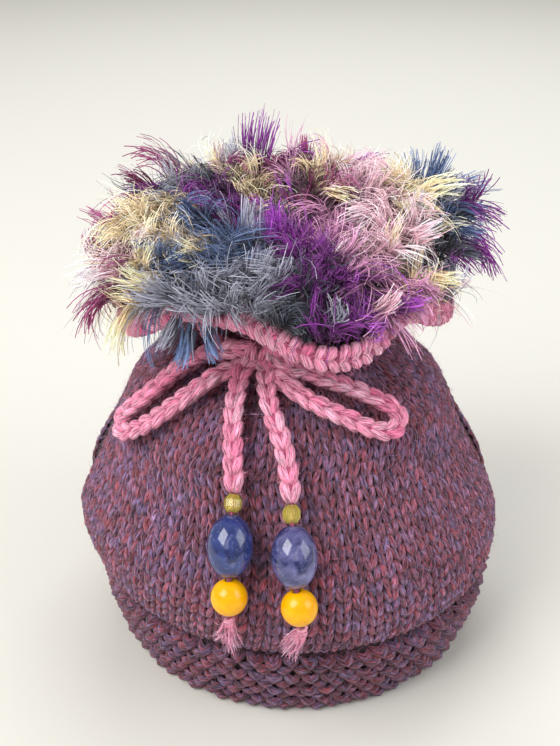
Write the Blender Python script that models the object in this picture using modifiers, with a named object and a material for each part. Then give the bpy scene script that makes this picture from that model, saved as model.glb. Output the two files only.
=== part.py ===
"""Hand-knitted tea cosy: a bell-shaped body in two knitted halves, gathered at the neck by a cord tied in
a bow, with beads on the cord's ends, a rolled edging round the flared collar and a frill of eyelash yarn.
Metres, +Z up, spout side at -X, handle side at +X, the bow faces -Y, the hem rests on Z = 0."""

import math

import bmesh
import bpy
from mathutils import Matrix, Vector, noise

MM = 0.001
GAP = 0.3

# The knitted body: outside radius and height of each ring of face points, hem first, in millimetres.
HEM_RIDGES = 5
HEM_HEIGHT = 30.0
HEM_RADIUS = 68.0
HEM_TOP_RADIUS = 74.9
CREASE_RADIUS = 72.6
# The hem stands this far towards the handle side, and the body is straight again at the given height.
HEM_LEAN = 3.4
LEAN_END = 58.0
RIDGE_HEIGHT = 0.8
WALL = 3.5
BODY = (
    (76.8, 35.4), (79.0, 45.0), (78.7, 54.0), (76.0, 62.5), (71.0, 72.0), (66.0, 80.5), (61.6, 89.5),
    (57.6, 98.0), (52.4, 104.5), (46.4, 109.5), (40.0, 112.5), (33.2, 115.4), (28.2, 117.2),
)
NECK = ((25.6, 120.2), (25.3, 123.6))
COLLAR = ((27.2, 127.0), (33.0, 130.2), (41.0, 132.8), (48.4, 134.6))
HALF_COLUMNS = 36
PLEATS = 18
SEAM_GAP = 0.34

# Openings in the side seams: lowest point, highest point and widest opening.
SPOUT_SLIT = (30.0, 90.0, 26.0)
HANDLE_SLIT = (26.0, 98.0, 20.0)

# Lobes of the collar: azimuth from the front in degrees, how far out and how far down each one hangs.
LOBES = ((-72.0, 4.0, 7.0), (17.0, 4.6, 2.6), (74.0, 2.4, 4.0), (152.0, 3.6, 2.0), (-146.0, 3.6, 2.5))
LOBE_SPREAD = 38.0
EDGING_RADIUS = 4.2
EDGING_SECTIONS = 72

CORD_RADIUS = 3.3
CORD_SIDES = 8
RING_HEIGHT = 122.6
RING_RADIUS = 25.4 + 0.75 + GAP + CORD_RADIUS
KNOT_AZIMUTH = -17.0
KNOT_SIZE = (7.2, 4.8, 5.4)
KNOT_RADIUS = 32.4
KNOT_HEIGHT = 122.8
CORE_RADIUS = 0.9
# The knot squeezes the loops: their radius at its middle, half way out and where they leave it.
LOOP_END_RADII = [1.6, 2.1, 2.7]

# Bow and tails: azimuth from the front, height of the point of the body below the cord, lift off the body.
LOOP_LEFT = (
    (-39.2, 115.6, 6.4), (-48.6, 115.0, 5.4), (-52.8, 113.0, 5.0), (-54.6, 110.0, 4.8), (-56.4, 106.0, 4.7),
    (-59.0, 101.9, 4.7), (-62.6, 97.6, 4.7), (-64.9, 93.2, 4.7), (-61.8, 91.2, 4.7), (-57.0, 93.6, 4.7),
    (-51.0, 98.1, 4.7), (-46.1, 102.4, 4.7), (-42.1, 106.4, 4.7), (-38.4, 109.8, 4.8), (-34.2, 112.4, 5.2),
)
LOOP_RIGHT = (
    (2.4, 114.8, 6.2), (9.7, 114.4, 5.3), (16.2, 113.4, 4.9), (23.2, 112.0, 4.8), (29.6, 110.3, 4.7),
    (35.4, 108.0, 4.7), (39.6, 105.2, 4.7), (39.2, 102.0, 4.7), (34.0, 101.0, 4.7), (28.2, 102.7, 4.7),
    (22.2, 105.6, 4.7), (15.9, 107.9, 4.7), (9.4, 109.8, 4.8), (3.6, 111.3, 5.2),
)
TAIL_LEFT = (
    (-22.6, 113.2, 5.0), (-20.4, 109.0, 4.8), (-18.0, 103.0, 4.7), (-16.2, 96.4, 4.7), (-14.9, 89.4, 5.5),
)
TAIL_RIGHT = ((-10.4, 113.2, 5.0), (-6.6, 109.0, 4.8), (-2.2, 103.0, 4.7), (0.2, 95.4, 4.7), (0.9, 87.4, 5.5))
# Where each strand of the bow lies in the knot: across it, out of it and up.
KNOT_POINTS = {
    "loop_left": ((-3.0, 0.4, 2.9), (-6.8, 2.0, 3.7), (-6.2, 2.8, -3.6), (-3.0, 0.6, -2.7)),
    "loop_right": ((3.0, 0.4, 2.9), (6.8, 2.0, 3.7), (6.2, 2.8, -3.6), (3.0, 0.6, -2.7)),
    "tail_left": ((-1.5, 0.5, 0.5), (-3.2, 2.6, -2.4)),
    "tail_right": ((1.5, 0.5, 0.5), (3.2, 2.6, -2.4)),
}
DRIFT_LEFT = (-14.6, -13.2, -12.8)
DRIFT_RIGHT = (1.0, 1.8, 3.0)

# Beads on each tail, top one first: length, radius, sides, and the strand's lift at the top and bottom.
BEADS = (
    ("bead_glass", 5.8, 3.0, 6, 6.1, 7.6),
    ("bead_stone", 20.0, 7.5, 16, 8.3, 8.9),
    ("bead_round", 12.0, 6.0, 16, 8.5, 7.2),
)
BORE_RADIUS = 1.6
TUFT_LENGTH = 13.0
# How far the strands of the frayed end lean: at its middle, at its rim, and all of them off the body.
FRAY_INNER = 0.14
FRAY_OUTER = 0.5
FRAY_LIFT = 0.22

FRILL_COLUMNS = 32
FRILL_LOCK_TAPER = 0.38
FRILL_LUMP = 2.6
# Where the frill is drawn in from the edging: azimuth from the front, spread in degrees, and how far.
FRILL_DRAWN_IN = (68.0, 36.0, 8.0)
# Tall tufts of the frill: where each stands, how wide it is and how much longer its locks are.
TUFTS = (
    (-10.0, 22.0, 14.0, 15.0), (50.0, 26.0, 16.0, 6.0), (-40.0, 38.0, 14.0, 4.0), (26.0, 46.0, 10.0, 6.0),
)


def blend(low, high, x):
    t = min(1.0, max(0.0, (x - low) / (high - low)))
    return t * t * (3.0 - 2.0 * t)


def turn(azimuth):
    """The unit vector that points out at this azimuth, which counts from the front (-Y) towards +X."""
    a = math.radians(azimuth)
    return Vector((math.sin(a), -math.cos(a), 0.0))


def hem_rings():
    rings = []
    steps = 2 * HEM_RIDGES
    for i in range(steps + 1):
        base = HEM_RADIUS + (HEM_TOP_RADIUS - HEM_RADIUS) * math.sin(0.5 * math.pi * i / steps)
        swell = RIDGE_HEIGHT if i % 2 else -RIDGE_HEIGHT
        radius = CREASE_RADIUS if i == steps else base + (swell if i else 0.0)
        rings.append((radius, HEM_HEIGHT * i / steps))
    return rings


RINGS = hem_rings() + list(BODY) + list(NECK) + list(COLLAR)
LAST = len(RINGS) - 1
NECK_RING = len(RINGS) - len(COLLAR) - 1


def outline(k):
    """Radius and height at a station along the body's outline, smooth through the rings."""
    k = min(float(LAST), max(0.0, k))
    i = min(int(k), LAST - 1)
    t = k - i
    p = [RINGS[min(LAST, max(0, j))] for j in (i - 1, i, i + 1, i + 2)]
    out = []
    for a, b, c, d in zip(*p):
        out.append(b + 0.5 * t * (c - a + t * (2 * a - 5 * b + 4 * c - d + t * (3 * (b - c) + d - a))))
    return out


def station(height):
    """The station of a height on the body, from the hem to the neck."""
    for i in range(NECK_RING):
        low = RINGS[i][1]
        high = RINGS[i + 1][1]
        if height <= high:
            return i + (height - low) / (high - low)
    return float(NECK_RING)


def lobe(azimuth):
    """How far out and down the collar hangs at an azimuth."""
    out = 0.0
    down = 0.0
    for centre, reach, drop in LOBES:
        away = abs((azimuth - centre + 180.0) % 360.0 - 180.0) / LOBE_SPREAD
        share = 0.5 + 0.5 * math.cos(math.pi * min(1.0, away))
        out += share * (reach + 2.6)
        down += share * (drop + 7.0)
    return out - 2.6, down - 7.0


def section(azimuth, k):
    """Radius and height of the body's outside at an azimuth, with the hem's lean and the collar's lobes."""
    radius, height = outline(k)
    radius += HEM_LEAN * math.sin(math.radians(azimuth)) * (1.0 - blend(HEM_HEIGHT, LEAN_END, height))
    share = blend(NECK_RING + 0.6, LAST, k)
    if share > 0.0:
        out, down = lobe(azimuth)
        radius += share * out
        height -= share * down
    return radius, height


def pleat_depth(k):
    low = blend(station(90.0), station(109.0), k)
    neck = 1.0 - 0.35 * blend(NECK_RING - 2.0, NECK_RING, k) + 0.35 * blend(NECK_RING, LAST, k)
    return 0.9 * low * neck


def surface(azimuth, k, depth=0.0, pleats=True):
    """A point this deep below the body's outside; a negative depth lies off it."""
    radius, height = section(azimuth, k)
    before = section(azimuth, k - 0.35)
    after = section(azimuth, k + 0.35)
    run = Vector((after[0] - before[0], after[1] - before[1])).normalized()
    if k < 2 * HEM_RIDGES:
        run = Vector((0.14, 0.99)).normalized()
    swell = pleat_depth(k) * math.cos(math.radians(azimuth * PLEATS)) if pleats else 0.0
    shift = swell - depth
    if k <= 0.0:
        return turn(azimuth) * (radius + shift) + Vector((0.0, 0.0, 0.0))
    return turn(azimuth) * (radius + shift * run.y) + Vector((0.0, 0.0, height - shift * run.x))


def slit(limits, height):
    low, high, width = limits
    if not low < height < high:
        return 0.0
    return 0.5 * width * math.sin(math.pi * (height - low) / (high - low)) ** 0.8


def material(name, colour, roughness, sheen=0.0, transmission=0.0):
    mat = bpy.data.materials.new(name)
    mat.use_nodes = True
    shader = mat.node_tree.nodes["Principled BSDF"]
    shader.inputs["Base Color"].default_value = (*colour, 1.0)
    shader.inputs["Roughness"].default_value = roughness
    shader.inputs["Sheen Weight"].default_value = sheen
    shader.inputs["Transmission Weight"].default_value = transmission
    return mat


def place(obj, group="tea_cosy"):
    """Puts an object in the collection of the finished pieces, or in another one."""
    collection = bpy.data.collections.get(group)
    if collection is None:
        collection = bpy.data.collections.new(group)
        bpy.context.scene.collection.children.link(collection)
    for other in list(obj.users_collection):
        other.objects.unlink(obj)
    collection.objects.link(obj)


def finish(bm, name, mat, smooth=True):
    """Turns the shape, built in millimetres, into a named object in metres."""
    bmesh.ops.recalc_face_normals(bm, faces=bm.faces[:])
    if bm.calc_volume(signed=True) < 0.0:
        bmesh.ops.reverse_faces(bm, faces=bm.faces[:])
    bmesh.ops.transform(bm, matrix=Matrix.Scale(MM, 4), verts=bm.verts[:])
    for face in bm.faces:
        face.smooth = smooth
    mesh = bpy.data.meshes.new(name)
    bm.to_mesh(mesh)
    bm.free()
    mesh.materials.append(mat)
    obj = bpy.data.objects.new(name, mesh)
    place(obj)
    return obj


def grid(columns, rows):
    """A flat grid whose points run from 0 to 1 both ways."""
    bm = bmesh.new()
    bmesh.ops.create_grid(bm, x_segments=columns, y_segments=rows, size=0.5)
    bmesh.ops.translate(bm, verts=bm.verts[:], vec=Vector((0.5, 0.5, 0.0)))
    return bm


def close(bm):
    """Welds the seam of a rolled grid and fills the ends that are left open."""
    bmesh.ops.remove_doubles(bm, verts=bm.verts[:], dist=1e-4)
    rims = [edge for edge in bm.edges if edge.is_boundary]
    if rims:
        bmesh.ops.holes_fill(bm, edges=rims, sides=0)


def panel(name, front, mat):
    """Half of the knitted body: one sheet of stitches, thickened inwards."""
    bm = grid(HALF_COLUMNS, LAST)
    copy = bmesh.ops.extrude_face_region(bm, geom=bm.faces[:], use_keep_orig=True)
    inner = [item for item in copy["geom"] if isinstance(item, bmesh.types.BMVert)]
    for vert in inner:
        vert.co.z = 1.0
    for vert in bm.verts:
        k = round(vert.co.y * LAST)
        radius, height = outline(k)
        left, right = (SPOUT_SLIT, HANDLE_SLIT) if front else (HANDLE_SLIT, SPOUT_SLIT)
        start = -90.0 + math.degrees(math.asin((slit(left, height) + 0.5 * SEAM_GAP) / radius))
        stop = 90.0 - math.degrees(math.asin((slit(right, height) + 0.5 * SEAM_GAP) / radius))
        azimuth = start + (stop - start) * vert.co.x + (0.0 if front else 180.0)
        vert.co = surface(azimuth, k, WALL * vert.co.z)
    return finish(bm, name, mat)


def smooth_path(points, steps):
    """A curve through the points, sampled a number of times between each pair."""
    ends = [2 * points[0] - points[1]] + list(points) + [2 * points[-1] - points[-2]]
    path = []
    for i in range(1, len(ends) - 2):
        a, b, c, d = ends[i - 1:i + 3]
        for j in range(steps):
            t = j / steps
            path.append(b + 0.5 * t * (c - a + t * (2 * a - 5 * b + 4 * c - d + t * (3 * (b - c) + d - a))))
    path.append(points[-1].copy())
    return path


def tube(path, radii, closed=False):
    """A round cord along a path: a bevelled curve, made a mesh so that it can be joined to others."""
    curve = bpy.data.curves.new("cord", "CURVE")
    curve.dimensions = "3D"
    curve.bevel_depth = CORD_RADIUS * MM
    curve.bevel_resolution = CORD_SIDES // 2 - 2
    curve.use_fill_caps = not closed
    spline = curve.splines.new("POLY")
    spline.points.add(len(path) - 1)
    spline.use_cyclic_u = closed
    for point, place, radius in zip(spline.points, path, radii):
        point.co = (*(place * MM), 1.0)
        point.radius = radius / CORD_RADIUS
    guide = bpy.data.objects.new("cord", curve)
    bpy.context.scene.collection.objects.link(guide)
    scene = bpy.context.evaluated_depsgraph_get()
    mesh = bpy.data.meshes.new_from_object(guide.evaluated_get(scene))
    bm = bmesh.new()
    bm.from_mesh(mesh)
    bpy.data.objects.remove(guide)
    bmesh.ops.transform(bm, matrix=Matrix.Scale(1.0 / MM, 4), verts=bm.verts[:])
    bmesh.ops.remove_doubles(bm, verts=bm.verts[:], dist=1e-3)
    return bm


def edging_point(azimuth):
    """The middle of the rolled edging, which lies one radius beyond the collar's rim."""
    rim = surface(azimuth, LAST, 0.5 * WALL, pleats=False)
    before = surface(azimuth, LAST - 0.5, 0.5 * WALL, pleats=False)
    return rim + (rim - before).normalized() * (EDGING_RADIUS + GAP + 0.35)


def build_edging(mat):
    line = [edging_point(360.0 * i / EDGING_SECTIONS) for i in range(EDGING_SECTIONS)]
    radii = [EDGING_RADIUS + 0.25 * math.cos(0.5 * math.pi * i) for i in range(len(line))]
    return finish(tube(line, radii, closed=True), "collar_edging", mat)


def knot_frame():
    out = turn(KNOT_AZIMUTH)
    centre = out * KNOT_RADIUS + Vector((0.0, 0.0, KNOT_HEIGHT))
    return centre, Vector((-out.y, out.x, 0.0)), out


def in_knot(x, y, z):
    centre, across, out = knot_frame()
    return centre + across * x + out * y + Vector((0.0, 0.0, z))


def ring_mesh():
    """The drawstring round the neck, whose ends go into the knot."""
    path = []
    for i in range(33):
        azimuth = KNOT_AZIMUTH + 5.0 + 350.0 * i / 32
        path.append(turn(azimuth) * RING_RADIUS + Vector((0.0, 0.0, RING_HEIGHT)))
    return tube(path, [CORD_RADIUS] * len(path))


def knot_mesh():
    """A squashed ball with soft grooves where the cord wraps over itself."""
    bm = bmesh.new()
    bmesh.ops.create_uvsphere(bm, u_segments=16, v_segments=10, radius=1.0)
    for vert in bm.verts:
        x, y, z = vert.co
        groove = 1.0 - 0.09 * (1.0 - abs(math.sin(3.0 * x + 1.2 * z))) * (1.0 - z * z)
        vert.co = in_knot(x * KNOT_SIZE[0] * groove, y * KNOT_SIZE[1] * groove, z * KNOT_SIZE[2])
    return bm


def on_body(azimuth, height, lift):
    return surface(azimuth, station(height), -lift, pleats=False)


def loop_mesh(side, table):
    first, leave, enter, last = [in_knot(*row) for row in KNOT_POINTS["loop_" + side]]
    path = smooth_path([first, leave] + [on_body(*row) for row in table] + [enter, last], 2)
    radii = [CORD_RADIUS] * len(path)
    radii[:3] = LOOP_END_RADII
    radii[-3:] = LOOP_END_RADII[::-1]
    return tube(path, radii)


def step_down(azimuth, height, lift, start, length):
    """The point of the hanging strand that is this far from the start, lower on the body."""
    while True:
        height -= 0.05
        point = on_body(azimuth, height, lift)
        if (point - start).length >= length:
            return point, height


def bead(name, top, bottom, length, radius, sides, mat):
    """A bored bead: a profile turned round the line from its top hole to its bottom one."""
    half = 0.5 * length
    if sides < 10:
        profile = [(0.62, 1.0), (1.0, 0.42), (1.0, -0.42), (0.62, -1.0)]
    else:
        swings = [math.pi * (0.43 - 0.086 * i) for i in range(11)]
        profile = [(math.cos(a), math.sin(a) / math.sin(0.43 * math.pi)) for a in swings]
    profile = [(radius * reach, half * rise) for reach, rise in profile]
    profile += [(BORE_RADIUS, -half), (BORE_RADIUS, half)] if sides < 10 else [(BORE_RADIUS, 0.0)]
    mesh = bpy.data.meshes.new(name)
    count = len(profile)
    edges = [(i, (i + 1) % count) for i in range(count)]
    mesh.from_pydata([(reach * MM, 0.0, rise * MM) for reach, rise in profile], edges, [])
    mesh.materials.append(mat)
    obj = bpy.data.objects.new(name, mesh)
    obj.location = (top + bottom) * 0.5 * MM
    obj.rotation_euler = (top - bottom).to_track_quat("Z", "Y").to_euler()
    spin = obj.modifiers.new("turned", "SCREW")
    spin.axis = "Z"
    spin.steps = sides
    spin.render_steps = sides
    spin.use_merge_vertices = True
    spin.merge_threshold = 0.0001
    spin.use_smooth_shade = sides > 10
    place(obj)
    return obj


def tail_mesh(side, table, drift, mats):
    """One end of the cord: the thick cord, a thin core through three beads and a frayed tuft."""
    start = [in_knot(*row) for row in KNOT_POINTS["tail_" + side]]
    path = smooth_path(start + [on_body(*row) for row in table], 2)
    radii = [CORD_RADIUS] * len(path)
    radii[-1] = 0.7 * CORD_RADIUS
    azimuth, height = table[-1][:2]
    spot = path[-1]
    for i, (name, length, radius, sides, lift_top, lift_low) in enumerate(BEADS):
        top, height = step_down(azimuth, height, lift_top, spot, GAP + (0.6 if i else 1.2))
        azimuth = drift[i]
        bottom, height = step_down(azimuth, height, lift_low, top, length)
        bead("%s_%s" % (name, side), top, bottom, length, radius, sides, mats[name])
        inward = (bottom - top).normalized() * 0.4
        path += [top + inward, bottom - inward]
        radii += [CORE_RADIUS] * 2
        spot = bottom
    knot, height = step_down(azimuth, height, 6.8, spot, 2.9)
    end, height = step_down(azimuth, height, 6.4, knot, 2.2)
    path += [knot, end]
    radii += [2.1, 1.9]
    bm = tube(path, radii)
    fray(bm, end, (end - knot).normalized())
    return bm


def build_drawstring(mats):
    """One cord: round the neck, through the knot, out in two loops and down in two beaded ends."""
    parts = [
        ("knot", knot_mesh()),
        ("loop_left", loop_mesh("left", LOOP_LEFT)),
        ("loop_right", loop_mesh("right", LOOP_RIGHT)),
        ("tail_left", tail_mesh("left", TAIL_LEFT, DRIFT_LEFT, mats)),
        ("tail_right", tail_mesh("right", TAIL_RIGHT, DRIFT_RIGHT, mats)),
    ]
    cord = finish(ring_mesh(), "drawstring", mats["cord"])
    for name, bm in parts:
        strand = finish(bm, "strand_" + name, mats["cord"])
        strand.hide_render = True
        strand.display_type = "WIRE"
        place(strand, "strands_joined")
        joint = cord.modifiers.new(name, "BOOLEAN")
        joint.operation = "UNION"
        joint.solver = "MANIFOLD"
        joint.object = strand
    return cord


def fray(bm, end, along):
    """Draws the strands of the frayed end out of the faces round the last ring of the tube."""
    bm.faces.ensure_lookup_table()
    cap = min(bm.faces, key=lambda face: (face.calc_center_median() - end).length)
    fan = bmesh.ops.poke(bm, faces=[cap])["faces"]
    quads = [face for face in bm.faces if len(face.verts) == 4]
    around = sorted(quads, key=lambda face: (face.calc_center_median() - end).length)[:CORD_SIDES]
    middle = sum((f.calc_center_median() for f in around), Vector()) / len(around)
    roots = [face for i, face in enumerate(fan) if i % 2 == 0]
    first = (around[0].calc_center_median() - middle).normalized()
    cross = along.cross(first)
    for face in around:
        out = face.calc_center_median() - middle
        turn_share = math.atan2(out.dot(cross), out.dot(first)) / (0.25 * math.pi)
        if round(turn_share) % 2 == 0:
            roots.append(face)
    for i, face in enumerate(roots):
        out = face.calc_center_median() - middle
        out -= along * out.dot(along)
        lean = out.normalized() * (FRAY_INNER if i < CORD_SIDES // 2 else FRAY_OUTER)
        lean += Vector((end.x, end.y, 0.0)).normalized() * FRAY_LIFT
        reach = TUFT_LENGTH * (0.72 + 0.28 * math.sin(2.3 * i + 1.0))
        away = (along + lean).normalized()
        lock(bm, face, [away * 0.5 * reach, (away + along * 0.2).normalized() * 0.5 * reach], 0.62)


def lock(bm, face, steps, taper):
    """Extrudes one strand out of a face, step by step, and draws it to a point."""
    for i, step in enumerate(steps):
        out = bmesh.ops.extrude_discrete_faces(bm, faces=[face])
        face = out["faces"][0]
        centre = face.calc_center_median()
        for vert in face.verts:
            vert.co = centre + (vert.co - centre) * taper + step
    return face


def frill_ring(azimuth, row):
    """Radius and height of the frill's slab: rows run from below its middle, round the rim, to its top."""
    rim = edging_point(azimuth)
    reach = math.hypot(rim.x, rim.y)
    back = 0.5 - 0.5 * math.cos(math.radians(azimuth))
    side = max(0.0, -math.sin(math.radians(azimuth))) ** 2
    lump = FRILL_LUMP * noise.noise(2.1 * turn(azimuth) + Vector((0.0, 0.0, row)))
    centre, spread, depth = FRILL_DRAWN_IN
    drawn = depth * (0.5 + 0.5 * math.cos(math.pi * min(1.0, abs(azimuth - centre) / spread)))
    if row == 0:
        return 9.0, 127.2
    if row <= 3:
        point = surface(azimuth, NECK_RING + row, WALL + 1.9, pleats=False)
        return math.hypot(point.x, point.y), point.z
    top = (
        (reach - 2.0 - drawn, rim.z + EDGING_RADIUS + 1.5),
        (reach + 4.5 + 2.0 * side - drawn, rim.z + EDGING_RADIUS + 1.9),
        (reach + 6.0 + 4.0 * side - drawn, rim.z + EDGING_RADIUS + 5.5),
        (53.5 + 5.0 * side - 0.6 * drawn, 155.0 + 0.45 * (rim.z - 138.0) + 9.0 * back + lump),
        (46.0 + 2.0 * side, 159.5 + 10.0 * back + lump),
        (37.5, 161.0 + 9.0 * back + lump),
        (29.0, 158.5 + 7.0 * back + lump),
        (20.5, 154.5 + 3.0 * back + lump),
        (12.0, 152.0 + lump),
    )
    return top[row - 4]


def build_frill(mat):
    """The eyelash-yarn frill: a lumpy slab that fills the collar, with locks drawn out of its top and rim."""
    rows = 12
    bm = grid(FRILL_COLUMNS, rows)
    cells = {}
    for face in bm.faces:
        centre = face.calc_center_median()
        cells[face] = (int(centre.x * FRILL_COLUMNS), int(centre.y * rows))
    for vert in bm.verts:
        azimuth = 360.0 * vert.co.x
        radius, height = frill_ring(azimuth, round(vert.co.y * rows))
        vert.co = turn(azimuth) * radius + Vector((0.0, 0.0, height))
    roots = [face for face, (i, j) in cells.items() if j >= 5 and (i + j) % 2 == 0 and (j < 11 or i % 4 == 1)]
    spots = [(face, cells[face]) for face in roots]
    close(bm)
    bmesh.ops.recalc_face_normals(bm, faces=bm.faces[:])
    for face, (i, j) in spots:
        centre = face.calc_center_median()
        flat = Vector((centre.x, centre.y, 0.0))
        out = flat.normalized()
        azimuth = math.degrees(math.atan2(centre.x, -centre.y))
        share = blend(12.0, 62.0, flat.length)
        rise = 1.0 - 1.15 * blend(40.0, 62.0, flat.length)
        wave = noise.noise(Vector((0.03 * centre.x, 0.03 * centre.y, 3.0)))
        away = (out * (0.25 + 0.95 * share) + Vector((0.0, 0.0, rise + 0.3 * wave))).normalized()
        reach = 11.0 + 5.0 * noise.noise(Vector((0.09 * centre.x, 0.09 * centre.y, 7.0)))
        reach += tuft_reach(centre)
        reach *= 1.0 - 0.5 * blend(44.0, 58.0, flat.length)
        bend = out * 0.25 * share - Vector((0.0, 0.0, 0.3 * share))
        lock(bm, face, [away * 0.55 * reach, (away + bend).normalized() * 0.45 * reach], FRILL_LOCK_TAPER)
    return finish(bm, "eyelash_frill", mat)


def tuft_reach(spot):
    extra = 0.0
    for x, y, spread, more in TUFTS:
        away = math.hypot(spot.x - x, spot.y - y)
        extra += more * (1.0 - blend(0.3 * spread, spread, away))
    return extra


def main():
    for obj in list(bpy.data.objects):
        bpy.data.objects.remove(obj)
    wool = material("heathered wool knit, plum", (0.13, 0.06, 0.09), 0.92, 0.5)
    pink = material("wool cord, pink", (0.66, 0.19, 0.31), 0.9, 0.5)
    fur = material("eyelash yarn, purple and cream", (0.16, 0.07, 0.2), 0.8, 0.6)
    mats = {
        "cord": pink,
        "bead_glass": material("moulded glass, yellow-green", (0.5, 0.47, 0.08), 0.15, 0.0, 0.4),
        "bead_stone": material("polished stone, mottled blue", (0.04, 0.055, 0.17), 0.3),
        "bead_round": material("glossy yellow bead", (0.9, 0.45, 0.01), 0.12),
    }
    panel("panel_front", True, wool)
    panel("panel_back", False, wool)
    build_edging(pink)
    build_frill(fur)
    build_drawstring(mats)

main()
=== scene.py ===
"""Hand-knitted tea cosy, dressed over its solids: two knitted halves, a crocheted chain tied in a bow with
beads on its ends, a crocheted edging round the collar and a frill of eyelash yarn."""

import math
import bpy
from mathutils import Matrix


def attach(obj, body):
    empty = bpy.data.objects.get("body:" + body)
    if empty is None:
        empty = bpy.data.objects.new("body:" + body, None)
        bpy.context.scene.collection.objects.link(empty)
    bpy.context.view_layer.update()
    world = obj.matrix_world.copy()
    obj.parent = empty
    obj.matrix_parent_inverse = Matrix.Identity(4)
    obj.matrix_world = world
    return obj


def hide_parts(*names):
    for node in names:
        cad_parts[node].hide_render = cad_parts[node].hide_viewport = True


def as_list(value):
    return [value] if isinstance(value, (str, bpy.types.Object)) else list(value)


bl_info = {
    "name": "Knitted Tea Cosy",
    "version": (1, 0, 0),
    "blender": (4, 5, 0),
    "location": "3D View > Sidebar > Tea Cosy",
    "description": "Builds a hand-knitted tea cosy with a beaded bow and a frill of eyelash yarn",
    "category": "Object",
}

import bpy
import numpy as np
from mathutils import Vector, noise

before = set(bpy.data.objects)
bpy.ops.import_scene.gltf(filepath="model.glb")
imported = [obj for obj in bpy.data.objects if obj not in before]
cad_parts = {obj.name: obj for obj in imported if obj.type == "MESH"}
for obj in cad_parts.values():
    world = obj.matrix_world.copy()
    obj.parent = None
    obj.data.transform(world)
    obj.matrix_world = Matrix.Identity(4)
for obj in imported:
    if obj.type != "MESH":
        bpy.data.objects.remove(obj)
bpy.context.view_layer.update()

MM = 0.001
UP = np.array([0.0, 0.0, 1.0])
BODY_NAME = "root"

# The knitted body's outside, hem first: radius and height of each station, in millimetres.
HEM_STEPS = 10
HEM_HEIGHT = 30.0
HEM_RADIUS = 68.0
HEM_TOP_RADIUS = 74.9
CREASE_RADIUS = 72.6
# The hem stands this far towards the handle side, and the body is straight again at the given height.
HEM_LEAN = 3.4
LEAN_END = 58.0
BODY = (
    (76.8, 35.4), (79.0, 45.0), (78.7, 54.0), (76.0, 62.5), (71.0, 72.0), (66.0, 80.5), (61.6, 89.5),
    (57.6, 98.0), (52.4, 104.5), (46.4, 109.5), (40.0, 112.5), (33.2, 115.4), (28.2, 117.2),
)
NECK = ((25.6, 120.2), (25.3, 123.6))
COLLAR = ((27.2, 127.0), (33.0, 130.2), (41.0, 132.8), (48.4, 134.6))
PLEATS = 18
SEAM_GAP = 0.34
WALL = 3.5

# The length of a half's widest row in the body and in the hem, and the stitch width that a V is drawn for.
WIDEST_ROW = 248.0
WIDEST_HEM_ROW = 236.0
DRAWN_STITCH = 6.3

# Openings in the side seams: lowest point, highest point and widest opening.
SPOUT_SLIT = (30.0, 90.0, 26.0)
HANDLE_SLIT = (26.0, 98.0, 20.0)

# Lobes of the collar: azimuth from the front in degrees, how far out and how far down each one hangs.
LOBES = ((-72.0, 4.0, 7.0), (17.0, 4.6, 2.6), (74.0, 2.4, 4.0), (152.0, 3.6, 2.0), (-146.0, 3.6, 2.5))
LOBE_SPREAD = 38.0
EDGING_RADIUS = 4.2
# Where the frill is drawn in from the edging: azimuth from the front, spread in degrees, and how far.
FRILL_DRAWN_IN = (68.0, 36.0, 8.0)

RING_HEIGHT = 122.6
RING_RADIUS = 29.75
KNOT_AZIMUTH = -17.0
KNOT_RADIUS = 32.4
KNOT_HEIGHT = 122.8

# Bow and tails: azimuth from the front, height of the point of the body below the cord, lift off the body.
LOOP_LEFT = (
    (-39.2, 115.6, 6.4), (-48.6, 115.0, 5.4), (-52.8, 113.0, 5.0), (-54.6, 110.0, 4.8), (-56.4, 106.0, 4.7),
    (-59.0, 101.9, 4.7), (-62.6, 97.6, 4.7), (-64.9, 93.2, 4.7), (-61.8, 91.2, 4.7), (-57.0, 93.6, 4.7),
    (-51.0, 98.1, 4.7), (-46.1, 102.4, 4.7), (-42.1, 106.4, 4.7), (-38.4, 109.8, 4.8), (-34.2, 112.4, 5.2),
)
LOOP_RIGHT = (
    (2.4, 114.8, 6.2), (9.7, 114.4, 5.3), (16.2, 113.4, 4.9), (23.2, 112.0, 4.8), (29.6, 110.3, 4.7),
    (35.4, 108.0, 4.7), (39.6, 105.2, 4.7), (39.2, 102.0, 4.7), (34.0, 101.0, 4.7), (28.2, 102.7, 4.7),
    (22.2, 105.6, 4.7), (15.9, 107.9, 4.7), (9.4, 109.8, 4.8), (3.6, 111.3, 5.2),
)
TAIL_LEFT = (
    (-22.6, 113.2, 5.0), (-20.4, 109.0, 4.8), (-18.0, 103.0, 4.7), (-16.2, 96.4, 4.7), (-14.9, 89.4, 5.5),
)
TAIL_RIGHT = ((-10.4, 113.2, 5.0), (-6.6, 109.0, 4.8), (-2.2, 103.0, 4.7), (0.2, 95.4, 4.7), (0.9, 87.4, 5.5))
# Each strand's points in the knot, from its middle: across, out and up. Two begin it and the rest end it.
KNOT_POINTS = {
    "loop_left": ((-3.0, 0.4, 2.9), (-6.8, 2.0, 3.7), (-6.2, 2.8, -3.6), (-3.0, 0.6, -2.7)),
    "loop_right": ((3.0, 0.4, 2.9), (6.8, 2.0, 3.7), (6.2, 2.8, -3.6), (3.0, 0.6, -2.7)),
    "tail_left": ((-1.5, 0.5, 0.5), (-3.2, 2.6, -2.4)),
    "tail_right": ((1.5, 0.5, 0.5), (3.2, 2.6, -2.4)),
}
# The azimuth of each bead's place on the body, top bead first.
DRIFTS = {"left": (-14.6, -13.2, -12.8), "right": (1.0, 1.8, 3.0)}

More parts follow.
